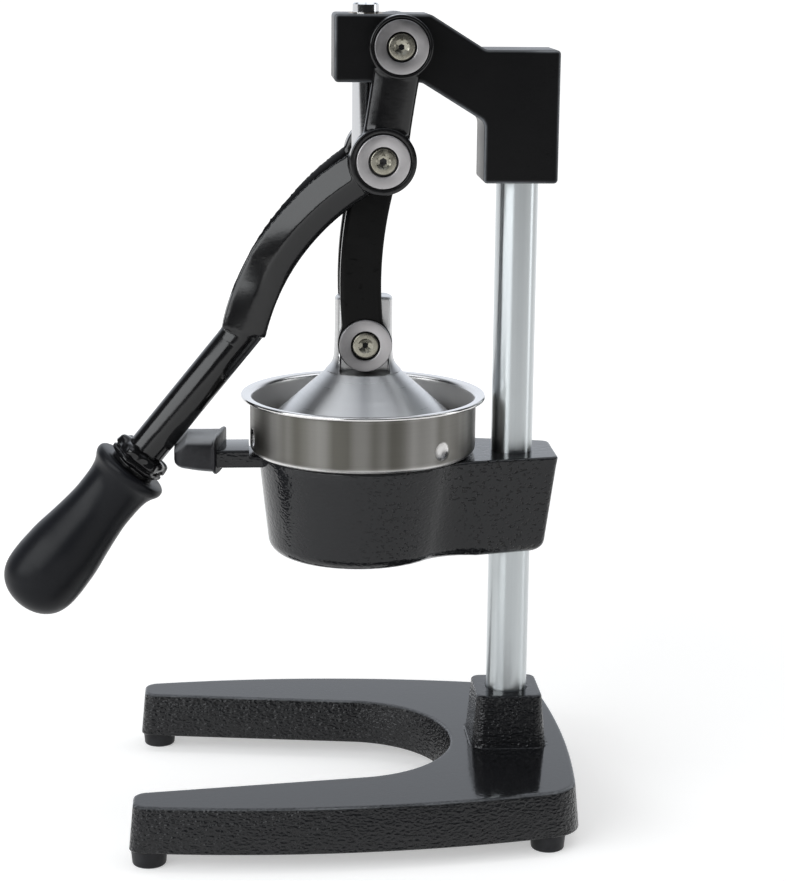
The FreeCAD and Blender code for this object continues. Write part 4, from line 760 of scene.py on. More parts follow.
# places are (x, z, inner end, seat, body, node, bite of the screw), and each disc's painted reflection is
# (turn, dark, light)
pivotSizes = {
    "discRadius": 13.0, "discThick": 2.4, "discEdge": 0.5, "seatEdge": 0.3, "pocketRadius": 7.3,
    "pocketEdge": 0.35, "sleeve": 9.0, "headRadius": 6.5, "headHeight": 8.0, "headEdge": 0.9, "sunk": 0.8,
    "socketFlats": 5.4, "socketDepth": 1.3, "socketCone": 0.8, "socketLead": (0.6, 0.7), "shank": 4.0,
    "play": 0.05,
    "reflectionSweeps": {"headPivot": (-30.0, 0.15, 0.75), "elbow": (30.0, 0.6, 0.95), "domePivot": (15.0, 0.15, 0.9)},
    "places": {"headPivot": (15.5, 389.5, 17.5, 27.9, "stand", "head_pivot", 12.0),
               "elbow": (7.2985, 335.014, 16.1, 27.8, "handle", "elbow", 0.0),
               "domePivot": (0.0, 243.204, 7.5, 15.9, "press", "dome_pivot", 6.6)}}


# flange: outline of (radius, distance from the middle plane) turned about the pivot
def flangeProfile(inner, seat):
    s = pivotSizes
    face = seat + s["discThick"]
    floor = face - s["sunk"] - s["headHeight"]
    hole = s["shank"] + s["play"]
    return roundedPath([(hole, inner), (s["sleeve"], inner), (s["sleeve"], seat),
                        (s["discRadius"], seat, s["seatEdge"]), (s["discRadius"], face, s["discEdge"]),
                        (s["pocketRadius"], face, s["pocketEdge"]), (s["pocketRadius"], floor),
                        (hole, floor)], 5)


# radius of a hexagon at an angle
def hexRadius(angle, flats):
    return flats / 2 / np.cos((angle + math.pi / 6) % (math.pi / 3) - math.pi / 6)


# socket screw: rings that pass from the hexagon socket to the round head and the shank
def screwGrid(inner, seat, bite):
    s = pivotSizes
    face = seat + s["discThick"] - s["sunk"]
    socket, under = face - s["socketDepth"], face - s["headHeight"]
    a = np.linspace(0, tau, 96, endpoint=False)
    t = np.linspace(0, quarter, 6)
    hexagon = hexRadius(a, s["socketFlats"])
    wide, deep = s["socketLead"]
    rounds = np.concatenate([[s["socketFlats"] / math.sqrt(3) + wide],
                             s["headRadius"] - s["headEdge"] * (1 - np.sin(t)),
                             [s["headRadius"], s["shank"], s["shank"]]])
    radius = np.vstack([hexagon * 0.001, hexagon, hexagon, np.repeat(rounds[:, None], len(a), axis=1)])
    height = np.concatenate([[socket - s["socketCone"], socket, face - deep, face],
                             face - s["headEdge"] * (1 - np.cos(t)), [under, under, inner - bite]])
    return polar(radius, a, height[:, None])


# painted reflection: the turned face is lighter on one side, with a sweep that follows the cosine of the
# angle round the pivot
def markPaintedReflection(piece, place, turn, low, high):
    x, _, z = pointsOf(piece.data).T
    angle = np.arctan2(z - place[1], x - place[0])
    mark(piece.data, "sweep", low + (high - low) * (0.5 + 0.5 * np.cos(angle - math.radians(turn))))


# on both sides of each pivot a flange, and a screw in its pocket
def makePivots():
    for name, (x, z, inner, seat, body, node, bite) in pivotSizes["places"].items():
        screws = []
        for side, sign in (("Near", -1), ("Far", 1)):
            disc = shell(sideways(lathe(flangeProfile(inner, seat)), (x, z), sign), closeRows=True)
            flange = addPiece(f"{name}Disc{side}", [disc], discSteel, body,
                              [f"{node}_bush_{side.lower()}"], 30)
            # one side of each disc lighter: a painted reflection
            markPaintedReflection(flange, (x, z), *pivotSizes["reflectionSweeps"][name])
            screws.append(shell(sideways(screwGrid(inner, seat, bite), (x, z), sign), capEnd=True))
        addPiece(f"{name}Screws", screws, screwSteel, body, [f"{node}_screws"], 30)


makePivots()
print("pivots built")

# Lever fork

barSizes = {"root": (-60.0, 0.0, 247.9), "slope": 51.0, "radius": 9.5, "start": 4.0, "startEdge": 1.5,
            "nutStart": 79.5, "nutEdge": 0.8, "gripStart": 89.5, "thread": 8.0, "bite": 58.0}


# heights of a turned grid run down along the bar
def onBar(grid):
    slope = math.radians(barSizes["slope"])
    return aimed(grid, barSizes["root"], (-math.cos(slope), 0, -math.sin(slope)))


forkSizes = {
    "headPivot": (15.5, 389.5), "elbow": (7.2985, 335.014), "bow": (-35.8, 299.0), "root": (-60.0, 247.9),
    "crankHalf": 11.3, "crankFlare": 2.0, "armHalf": 11.2, "inner": 17.8, "outer": 27.8, "thinnest": 6.0,
    "spreadX": -3.0, "rootX": -50.0, "rootHalf": 10.0, "crotchX": -46.0, "crotchHalf": 3.5,
    "headBoss": 15.25, "elbowBoss": 16.25, "bossRounds": (2.2, 0.8), "padRadius": 12.0, "padInner": 16.1,
    "padOuter": 25.8, "lipBottom": 26.8, "lipTop": 29.3, "lipRounds": (0.7, 0.6), "seatRadius": 13.5,
    "squareness": 2.4, "facet": 0.58, "facetFade": (1.6, 0.2), "webFrom": 52, "webHalf": 7.0,
    "webDeepens": (3.0, 13.0), "webWidens": (0.45, 1.55), "webSquareness": 2.3, "stub": (-7.0, 9.5),
    "stubOver": 0.1, "voxel": 0.7, "smoothing": 10}


# rounded bar carried along a path: at each step a superellipse spans the width and the arm's thickness, and
# a facet of the given slope takes its outer side down from the middle to the upper edge
def sweptArm(path, half, innerY, outerY, squareness, facet=0.0):
    half, innerY, outerY, facet = (
        np.broadcast_to(v, len(path))[:, None] for v in (half, innerY, outerY, facet))
    across, through = squareRound(squareness)
    depth = (outerY - innerY) / 2
    roof = 1 - facet * np.maximum(-across, 0) * half / np.abs(depth)
    y = (innerY + outerY) / 2 + depth * np.minimum(through, roof)
    x, z = np.moveaxis(path[:, None, :] + leftOf(path)[:, None, :] * (half * across)[..., None], -1, 0)
    return shell(np.stack([x, y, z], axis=-1), capStart=True, capEnd=True)


# running mean over nine values, the ends held
def eased(values):
    return np.convolve(np.pad(values, 4, mode="edge"), np.ones(9) / 9, mode="valid")


# two cranked arms with bosses, a web between them at the root and a stub of the bar, under one smoothed skin;
# the lips round the discs stay sharp
def makeFork():
    s = forkSizes
    inner, outer = s["inner"], s["outer"]
    crank = np.linspace(s["headPivot"], s["elbow"], 24)
    # the crank widens towards both of its bosses
    crankHalf = s["crankHalf"] + s["crankFlare"] * np.linspace(-1, 1, len(crank)) ** 4
    path = arcThrough(s["elbow"], s["bow"], s["root"], 72)
    armOuter = np.interp(-path[:, 0], (-s["spreadX"], -s["rootX"]), (outer, s["rootHalf"]))
    armInner = np.interp(-path[:, 0], (-s["spreadX"], -s["crotchX"]), (inner, s["crotchHalf"]))
    armInner = eased(np.minimum(armInner, armOuter - s["thinnest"]))
    armOuter = eased(armOuter)
    facet = s["facet"] * np.clip(np.linspace(*s["facetFade"], len(path)), 0, 1)
    pad = cylinder(s["padRadius"], s["padInner"], s["padOuter"])
    bodies, lips = [], []
    for sign in (-1, 1):
        bodies.append(sweptArm(crank, crankHalf, inner * sign, outer * sign, s["squareness"]))
        bodies.append(sweptArm(path, s["armHalf"], armInner * sign, armOuter * sign, s["squareness"], facet))
        for place, radius in ((s["headPivot"], s["headBoss"]), (s["elbow"], s["elbowBoss"])):
            soft, crisp = s["bossRounds"]
            boss = roundedPath([(0, inner), (radius, inner, soft), (radius, outer, crisp), (0, outer)], 6,
                               closed=False)
            bodies.append(shell(sideways(lathe(boss), place, sign)))
            low, high, seat = s["lipBottom"], s["lipTop"], s["seatRadius"]
            outEdge, inEdge = s["lipRounds"]
            ring = roundedPath([(seat, low), (radius, low), (radius, high, outEdge), (seat, high, inEdge)], 6)
            lips.append(shell(sideways(lathe(ring), place, sign), closeRows=True))
        bodies.append(shell(sideways(pad, s["elbow"], sign)))
    web = path[s["webFrom"]:]
    deep = np.minimum(s["webHalf"], np.linspace(*s["webDeepens"], len(web)))
    # it starts narrow, so that its end stays inside the faceted arms
    wide = s["armHalf"] * np.clip(np.linspace(*s["webWidens"], len(web)), 0, 1)
    bodies.append(sweptArm(web, wide, -deep, deep, s["webSquareness"]))
    # a stub of the bar takes part, so that the bar looks welded on
    bodies.append(shell(onBar(cylinder(barSizes["radius"] + s["stubOver"], *s["stub"], 64))))
    skin = settled(bodies, "leverFork", [
        ("REMESH", {"mode": "VOXEL", "voxel_size": s["voxel"] * metre, "use_smooth_shade": True}),
        ("SMOOTH", {"factor": 0.5, "iterations": s["smoothing"]})])
    made = [meshShell(skin), *lips]
    bpy.data.meshes.remove(skin)
    return made


addPiece("leverFork", makeFork(), armPaint, "handle", ["lever_fork"], 50)
print("fork built")

# Links

linkSizes = {"foot": (0.0, 243.204), "bow": (-1.9, 287.0), "top": (7.2985, 335.014), "half": 10.2,
             "eye": 13.6, "inner": 7.8, "outer": 15.8, "edge": 2.0, "blend": 14}


# side outline: a bowed band whose half width swells to the two eyes, closed by their round ends
def linkOutline():
    s = linkSizes
    eye, k = s["eye"], s["blend"]
    path = arcThrough(s["foot"], s["bow"], s["top"], 60)
    run = lengthAlong(path)
    footEye, topEye = (np.sqrt(np.maximum(eye ** 2 - away ** 2, 0)) for away in (run, run[-1] - run))
    half = (s["half"] ** k + footEye ** k + topEye ** k) ** (1 / k)
    half[[0, -1]] = eye
    leftSide = path + leftOf(path) * half[:, None]
    rightSide = path - leftOf(path) * half[:, None]

    def roundEnd(centre, start, stop):
        centre = np.array(centre)
        a0, a1 = (math.atan2(*(end - centre)[::-1]) for end in (start, stop))
        t = np.linspace(a0, a1 + (tau if a1 < a0 else 0), 24)[1:-1]
        return centre + eye * np.stack([np.cos(t), np.sin(t)], axis=1)

    topEnd = roundEnd(s["top"], rightSide[-1], leftSide[-1])
    footEnd = roundEnd(s["foot"], leftSide[0], rightSide[0])
    return resample(np.concatenate([rightSide, topEnd, leftSide[::-1], footEnd]), 200, closed=True)


# the outline as a slab on each side of the dome's neck
def makeLinks():
    s = linkSizes
    middle, half = (s["inner"] + s["outer"]) / 2, (s["outer"] - s["inner"]) / 2
    for side, sign in (("Near", -1), ("Far", 1)):
        link = slab(linkOutline(), half, s["edge"], middle, sign)
        addPiece("link" + side, [link], linkPaint, "links", ["link_" + side.lower()])


makeLinks()

# Bar, nut and grip along the bar's slope

# round bar, thinner under the grip
def makeBar():
    s = barSizes
    end = s["gripStart"] + s["bite"]
    profile = roundedPath([(0, s["start"]), (s["radius"], s["start"], s["startEdge"]),
                           (s["radius"], s["nutStart"], s["nutEdge"]), (s["thread"], s["nutStart"]),
                           (s["thread"], end), (0, end)], 6, closed=False)
    return shell(onBar(lathe(profile)))


addPiece("leverBar", [makeBar()], armPaint, "handle", ["lever_bar"], 50)

nutSizes = {"flats": 26.6, "start": 78.0, "height": 10.2, "lumps": 0.55, "waist": 1.3, "waistAt": 0.62,
            "waistHalf": 0.07, "rag": 0.5, "neck": 8.9, "worn": 1.11, "bore": 0.62}


# thickly painted nut: a softened hexagon over its height, with lumps from a few sine waves
def makeNut():
    s = nutSizes
    a = np.linspace(0, tau, 192, endpoint=False)[None, :]
    h = np.linspace(0, 1, 40)[:, None]
    bulge = np.clip(1 - np.abs(2 * h - 1) ** 5, 0, 1) ** 0.5
    corner = np.minimum(hexRadius(a, s["flats"]), s["flats"] / 2 * s["worn"])
    waves = (np.sin(3 * a + 4 * h) + np.sin(5 * a - 7 * h + 1) + np.sin(8 * a + 9 * h + 2)
             + 0.6 * np.sin(13 * a - 8 * h + 4)) / 3
    # a shallow groove round the middle, where nut and washer meet under the paint
    groove = s["waist"] * np.exp(-((h - s["waistAt"]) / s["waistHalf"]) ** 2)
    radius = s["neck"] + (corner - s["neck"] + s["lumps"] * waves) * bulge - groove
    z = s["start"] + s["height"] * h + s["rag"] * np.sin(3 * a + 1) * np.sin(5 * a) * (1 - h) ** 2
    outside = polar(radius, a, z)
    inside = outside[[-1, 0]] * (s["bore"], s["bore"], 1.0)
    return shell(onBar(np.concatenate([outside, inside])), closeRows=True)


addPiece("gripNut", [makeNut()], armPaint, "handle", ["grip_nut"], 50)

gripSizes = {
    "bore": 8.05, "boreStart": 0.6, "boreEnd": 59.0, "swell": 66.0, "length": 91.2, "fullness": 3.3,
    "stations": (0.0, 0.6, 1.6, 3.2, 4.6, 6.2, 8.6, 12.0, 16.0, 20.0, 26.0, 33.0, 43.0, 54.0, 66.0),
    "radii": (18.7, 19.4, 19.75, 19.75, 19.2, 18.2, 17.1, 16.3, 15.9, 15.75, 15.75, 16.35, 17.65, 19.3, 20.1)}


# smooth curve through the stations: each piece a cubic whose slopes come from its neighbours
def smoothCurve(x, y, count):
    x, y = np.array(x, float), np.array(y, float)
    slope = np.gradient(y, x)
    at = np.linspace(x[0], x[-1], count)
    k = np.clip(np.searchsorted(x, at, side="right") - 1, 0, len(x) - 2)
    width = x[k + 1] - x[k]
    t = (at - x[k]) / width
    return at, (y[k] * (1 + 2 * t) * (1 - t) ** 2 + slope[k] * width * t * (1 - t) ** 2
                + y[k + 1] * t * t * (3 - 2 * t) + slope[k + 1] * width * t * t * (t - 1))


# the curve of the handle, closed beyond the swell by a full ellipse-like round
def makeGrip():
    s = gripSizes
    at, radius = smoothCurve(s["stations"], s["radii"], 130)
    t = np.sin(np.linspace(0, quarter, 48))
    end = np.column_stack([s["radii"][-1] * np.sqrt(1 - t ** s["fullness"]),
                           s["swell"] + (s["length"] - s["swell"]) * t])
    profile = np.vstack([[(0.0, s["boreEnd"]), (s["bore"], s["boreEnd"]), (s["bore"], s["boreStart"])],
                         np.column_stack([radius, at]), end[1:]])
    return shell(onBar(lathe(profile + (0, barSizes["gripStart"]), 128)))


addPiece("leverGrip", [makeGrip()], gripPlastic, "handle", ["grip"], 50)
print("links, bar and grip built")

# Press dome

domeSizes = {
    "neckRadius": 14.4, "flat": 7.5, "neckTop": 266.0, "coneTop": 231.97, "rimZ": 201.8, "rimRadius": 48.5,
    "rimEdge": 0.8, "rimRound": (0.1, 0.3), "flatBottom": 229.2, "peakRadius": 19.5, "peakRound": (1.0, 1.2),
    "hollowTop": 222.1, "hollowRim": 42.46, "blend": 3.0, "far": 60.0, "corner": 1.6, "cornerFlat": 0.4,
    "ledge": 0.8, "rodHole": 4.05, "rodDepth": 15.0, "millHalf": 12.0, "millSoft": 0.6, "millTop": 235.0,
    "millRise": 2.0, "turns": 288}


# round section with two flats: y is held at the limit by a tanh of its sixth power, so the flats begin softly
def flattened(grid, limit):
    x, y, z = np.moveaxis(grid, -1, 0)
    held = limit * np.tanh(np.abs(y / limit) ** 6) ** (1 / 6)
    return np.stack([x, np.sign(y) * np.minimum(np.abs(y), held), z], axis=-1)


# hollow and cone below; from the ledge up the section closes in to the flats, and the cone runs out into
# the neck along a hyperbola
def makeDome():
    s = domeSizes
    neck, rim, rimZ, edge = s["neckRadius"], s["rimRadius"], s["rimZ"], s["rimEdge"]
    slope = (rim - neck) / (s["coneTop"] - rimZ)
    coneZ = np.linspace(rimZ + edge, s["flatBottom"] - s["ledge"], 24)
    peak, hollow = s["peakRadius"], s["hollowTop"]
    wide, deep = s["peakRound"]
    aside, up = s["rimRound"]
    underside = [(peak * 0.001, hollow), (peak - wide, hollow), (peak + wide, hollow - deep),
                 (s["hollowRim"], rimZ), (rim - edge, rimZ), (rim - aside, rimZ + up)]
    cone = np.column_stack([neck + (s["coneTop"] - coneZ) * slope, coneZ])
    t = np.linspace(0, 1, 10)
    neckZ = np.concatenate([s["flatBottom"] - s["ledge"] * (1 - t),
                            np.linspace(s["flatBottom"], s["neckTop"] - s["corner"], 70)[1:]])
    gap = np.maximum(s["coneTop"] - neckZ, -s["far"])
    outer = neck + 0.5 * slope * (gap + np.hypot(gap, s["blend"]))
    outer -= 0.5 * slope * (math.hypot(s["far"], s["blend"]) - s["far"])
    upper = lathe(np.column_stack([outer, neckZ]), s["turns"])
    # below the neck the flats are milled no wider than the cutter, so the cone stays whole beside them
    closing = np.concatenate([t ** 0.5, np.ones(len(neckZ) - len(t))])[:, None]
    cutter = np.clip(s["millHalf"] + s["millSoft"] - np.abs(upper[..., 0]), 0, 1)
    above = np.clip((neckZ - s["millTop"]) / s["millRise"], 0, 1)[:, None]
    cutter = np.maximum(cutter * cutter * (3 - 2 * cutter), above)
    milled = (closing * cutter)[..., None]
    upper = upper * (1 - milled) + flattened(upper, s["flat"]) * milled
    q = np.linspace(0, quarter, 6)[1:]
    drawn, sunk = s["corner"] * (1 - np.cos(q)), s["corner"] * (1 - np.sin(q))
    top = flattened(lathe(np.column_stack([neck - drawn, s["neckTop"] - sunk]), s["turns"]),
                    (s["flat"] - s["cornerFlat"] * drawn)[:, None])
    hole = [(s["rodHole"], s["neckTop"]), (s["rodHole"], s["neckTop"] - s["rodDepth"])]
    return shell(np.concatenate([lathe(np.vstack([underside, cone]), s["turns"]), upper, top,
                                 lathe(hole, s["turns"])]), capStart=True, capEnd=True)


addPiece("pressDome", [makeDome()], domeMetal, "press", ["press_dome"], 50)

# Cup

cupSizes = {
    "radius": 57.0, "wall": 1.2, "floor": 186.5, "corner": 4.0, "rimRadius": 61.7, "rimTop": 216.2,
    "flare": 2.3, "flareRound": 1.6, "lip": 1.9, "lipRound": 0.9, "rimFall": 0.5, "rimRound": 2.6,
    "funnelRadius": 43.0, "funnelRound": 3.0, "spoutRadius": 12.0, "spoutTop": 151.0, "spoutEnd": 127.0,
    "spoutEdge": 0.3, "spoutLead": 0.7, "dimpleHeight": 195.5, "dimpleTurns": (-50.0, 70.0, 190.0),
    "dimpleRadius": 3.9, "dimpleDepth": 2.0, "dimpleSpan": 7.0, "wallRings": 44,
    "rimShine": (0.5, 1.5), "heelShine": (0.75, 1.5), "dimpleShine": (0.25, 0.5), "dimpleReach": 6.0,
    "satinFrom": 0.6}


# profile of the pressed sheet from the spout's end up the outside, over the rim and down the inside; the
# upright walls are cut into many steps
def cupProfile():
    s = cupSizes
    wall, base, rimTop, soft = s["wall"], s["floor"], s["rimTop"], s["funnelRound"]
    spout, radius, rim = s["spoutRadius"], s["radius"], s["rimRadius"]
    sheet = roundedPath([
        (spout - wall, s["spoutEnd"]), (spout, s["spoutEnd"], s["spoutEdge"]), (spout, s["spoutTop"], soft),
        (s["funnelRadius"], base, soft), (radius, base, s["corner"]),
        (radius, rimTop - s["flare"], s["flareRound"]), (rim, rimTop - s["lip"], s["lipRound"]),
        (rim, rimTop, s["lipRound"]), (radius - wall, rimTop - s["rimFall"], s["rimRound"]),
        (radius - wall, base + wall, s["corner"] - wall), (s["funnelRadius"] + wall / 2, base + wall, soft),
        (spout - wall, s["spoutTop"] + s["spoutLead"], soft)], 10)
    step = np.roll(sheet, -1, axis=0) - sheet
    low = np.minimum(sheet[:, 1], sheet[:, 1] + step[:, 1])
    upright = (np.abs(step[:, 0]) < 0.01) & (np.abs(step[:, 1]) > 8) & (low > base - 1)
    count = np.where(upright, s["wallRings"], 1)
    into = np.arange(count.sum()) - np.repeat(np.cumsum(count) - count, count)
    return np.repeat(sheet, count, axis=0) + np.repeat(step / count[:, None], count, axis=0) * into[:, None]


# the profile turned, with finer steps at the dimples: there the wall is pushed in by a flat-bottomed bell
def makeCup():
    s = cupSizes
    turns, span = np.radians(s["dimpleTurns"]), s["dimpleSpan"]
    fine = np.concatenate([t + np.radians(np.linspace(-span, span, 28)) for t in turns])
    coarse = np.linspace(0, tau, 216, endpoint=False)
    away = np.min(np.abs((coarse[:, None] - turns + math.pi) % tau - math.pi), axis=1)
    angles = np.sort(np.concatenate([fine % tau, coarse[away > math.radians(span + 0.6)]]))
    profile = cupProfile()
    r, z = profile[:, :1], profile[:, 1:]
    onWall = (np.abs(r - s["radius"]) < 2) & (z > s["floor"])
    push = 0.0
    for t in turns:
        aside = s["radius"] * ((angles[None, :] - t + math.pi) % tau - math.pi)
        reach = np.sqrt(aside ** 2 + (z - s["dimpleHeight"]) ** 2) / s["dimpleRadius"]
        push = push + s["dimpleDepth"] * np.exp(-reach ** 4) * onWall
    return shell(polar(r - push, angles, z), closeRows=True)


# the rolled rim, the bottom radius and the dimples keep a polish that the brushed wall has lost, and are
# lightened as a painted highlight;
# the inside is satin and lightened as painted light on its shaded hollow
def markCupPolishAndPaintedLight(piece):
    s = cupSizes
    x, y, z = pointsOf(piece.data).T
    radius = np.hypot(x, y)
    start, fade = s["rimShine"]
    rim = np.clip((z - s["rimTop"] + s["flare"] + start) / fade, 0, 1)
    start, fade = s["heelShine"]
    heel = np.clip((s["floor"] + s["corner"] * start - z) / fade, 0, 1)
    start, fade = s["dimpleShine"]
    dimple = np.clip((s["radius"] - start - radius) / fade, 0, 1)
    dimple *= (np.abs(z - s["dimpleHeight"]) < s["dimpleReach"]) & (radius > s["radius"] - s["wall"] * 0.9)
    inside = (radius < s["radius"] - s["satinFrom"] * s["wall"]) & (z > s["floor"] + s["satinFrom"])
    # inside: satin roughness with painted light; rim, heel and dimples: polish with a painted highlight
    mark(piece.data, "satin", inside * (1 - rim))
    mark(piece.data, "polished", np.maximum(np.maximum(rim, heel), dimple))


markCupPolishAndPaintedLight(addPiece("juiceCup", [makeCup()], cupSteel, "stand", ["juice_cup"], 50))
print("dome and cup built")

# Cup bracket and lever rest

bracketSizes = {
    "top": 186.5, "bottom": 134.5, "draft": 6.5, "footRound": 7.0, "footRing": 0.5, "edge": 1.2,
    "bowlRadius": 53.0, "bowlEndX": 38.5, "cheek": (46.5, 30.6), "arm": (57.0, 27.2), "end": (97.6, 19.2),
    "endRound": 4.0, "sideGaps": (4.0, 6.0), "wall": 6.0, "lead": 0.8, "floor": 8.0,
    "floorLead": (2.0, 3.0, 1.0), "hole": 20.0}


# plan of bowl and arm, anticlockwise from above
def bracketPlan(inset):
    s = bracketSizes
    radius, endRound = s["bowlRadius"], s["endRound"]
    startHalf = math.sqrt(radius ** 2 - s["bowlEndX"] ** 2) - inset
    start = (s["bowlEndX"] - inset, -startHalf)
    arm = (s["arm"][0], inset - s["arm"][1])
    bow = arcThrough(start, (s["cheek"][0] - inset, inset - s["cheek"][1]), arm, 16)
    endX, endHalf = s["end"][0] - inset, s["end"][1] - inset
    tail = roundedPath([arm, (endX, -endHalf, endRound), (endX, endHalf, endRound), (arm[0], -arm[1])],
                       closed=False)
    run = resample(tail[:2], 8)
    bowl = arcThrough((start[0], startHalf), (inset - radius, 0), start, 120)
    return np.concatenate([bow[:-1], run[:-1], tail[1:-1], (run[::-1] * (1, -1))[1:],
                           (bow * (1, -1))[::-1][1:], bowl[1:-1]])


# the plan in levels from the round foot up the drafted side, then down the inside of the bowl to its hole
def makeBracket():
    s = bracketSizes
    lean = math.tan(math.radians(s["draft"]))
    top, bottom, foot, lead = s["top"], s["bottom"], s["footRound"], s["lead"]
    q = np.linspace(quarter, 0, 9)
    footZ = bottom + foot * (1 - np.sin(q))
    sideZ = np.linspace(bottom + foot + s["sideGaps"][0], top - s["sideGaps"][1], 6)
    footInset = foot * (1 - np.cos(q)) + (top - footZ) * lean
    levels = np.vstack([(footInset[0] + s["footRing"], bottom), np.column_stack([footInset, footZ]),
                        np.column_stack([(top - sideZ) * lean, sideZ]), edgeRound(0.0, top, s["edge"])])
    x, y = bracketPlan(0.0).T
    inner, floor = s["bowlRadius"] - s["wall"], bottom + s["floor"]
    low = inner - (top - floor) * lean
    out, up, drawn = s["floorLead"]
    inside = lathe([(inner + lead, top), (inner, top - lead), (low + out, floor + up), (low - drawn, floor),
                    (s["hole"], floor), (s["hole"], bottom)], angles=np.arctan2(y, x))
    return shell(np.concatenate([levelled(bracketPlan, levels), inside]), closeRows=True)


# runs of the rest are (from x, to x, top)
restSizes = {"half": 13.5, "bottom": 180.5, "edge": 1.2,
             "runs": [(-48.0, -57.6, 186.1), (-57.6, -88.0, 189.5)]}


# flat bar with softened edges, from inside the bowl's wall out to under the bumper
def makeRest():
    s = restSizes
    half, low, edge = s["half"], s["bottom"], s["edge"]
    bars = []
    for fromX, toX, top in s["runs"]:
        section = [(-half, low, edge), (half, low, edge), (half, top, edge), (-half, top, edge)]
        y, z = roundedPath(section, 5).T
        x = np.linspace(fromX, toX, 12)[:, None]
        bars.append(shell(np.stack(np.broadcast_arrays(x, y, z), axis=-1), capStart=True, capEnd=True))
    return bars


addPiece("cupBracket", [makeBracket(), *makeRest()], bracketPaint, "stand", ["cup_bracket"])

bumperSizes = {"start": -69.0, "end": -95.0, "half": 16.5, "bottom": 178.2, "top": 195.5, "slope": 6.4,
               "lip": 1.1, "lipLength": 2.6, "lipStart": 0.4, "nose": 5.0, "rise": 3.0, "skew": 5.5,
               "squareness": 5.5, "thinnest": 6.0, "lipMouth": 0.35, "noseBlunt": 0.98, "noseSides": 0.8,
               "noseUnder": 0.6, "noseTop": 0.2}


# rubber sleeve: a rounded section along the rest, drawn in at its nose, sloped under the bar and thicker
# at its lip
def makeBumper():
    s = bumperSizes
    u = np.concatenate([np.linspace(0, 0.9, 30), 1 - 0.1 * np.cos(np.linspace(0, quarter, 16))])[:, None]
    x = s["start"] + (s["end"] - s["start"]) * u
    along = s["start"] - x
    into = np.clip((s["end"] + s["nose"] - x) / s["nose"], 0, 1)
    drawn = s["nose"] * np.minimum(1 - np.sqrt(np.clip(1 - into ** 2, 0, 1)), s["noseBlunt"])
    lip = s["lip"] * np.clip(1 - (along / s["lipLength"]) ** 4, 0, 1) ** 0.5
    lip *= np.clip(along / s["lipStart"] + s["lipMouth"], 0, 1) ** 0.5
    half = s["half"] - drawn * s["noseSides"] + lip
    low = s["bottom"] + drawn * s["noseUnder"] - lip + s["rise"] * (along / (s["start"] - s["end"])) ** 2
    top = s["top"] - np.maximum(s["end"] + s["slope"] - x, drawn * s["noseTop"])
    high = np.maximum(top + lip, low + s["thinnest"])
    across, upward = squareRound(s["squareness"])
    y = half * across
    z = (low + high) / 2 + (high - low) / 2 * upward
    # the near end of the lip is pushed back along the rest
    pushed = s["skew"] * np.clip(0.5 - 0.5 * y / s["half"], 0, 1) ** 1.5 * (1 - u) ** 2
    return shell(np.stack([x - pushed, y, z], axis=-1), capStart=True, capEnd=True)


addPiece("bumperSleeve", [makeBumper()], rubberBlack, "stand", ["bumper_sleeve"], 50)
print("bracket and bumper built")

# CAD nodes that stay, with their finishes
keptFinishes = {
    "foot_screws": zincSteel, "column_bolt": zincSteel, "column_washer": zincSteel,
    "head_set_screws": zincSteel, "bracket_set_screws": zincSteel, "guide_bush": bushBronze,
    "strainer_cone": cupSteel, "grip_washer": armPaint, "link_bushes": bushBronze}
for name, finish in keptFinishes.items():
    for slotPlace in cadNodes[name].material_slots:
        slotPlace.link = "OBJECT"
        slotPlace.material = finish
print("kept nodes dressed")

# Stage, light and camera

stageLook = {"floorColour": (0.8, 0.8, 0.8), "floorSize": 40.0, "worldLight": 0.45,
             "worldTint": (0.92, 0.97, 1.05), "behindFrom": (0.4, 0.85), "behindShare": 1.1,
             "aboveFrom": (0.55, 0.95), "aboveShare": 0.8, "frontShare": 0.05,
             "floorFade": (-3.7, -2.7), "floorFar": 0.025, "glow": (0.42, 0.71), "glowReach": (0.25, 1.6)}
white = (1.0, 1.0, 1.0)


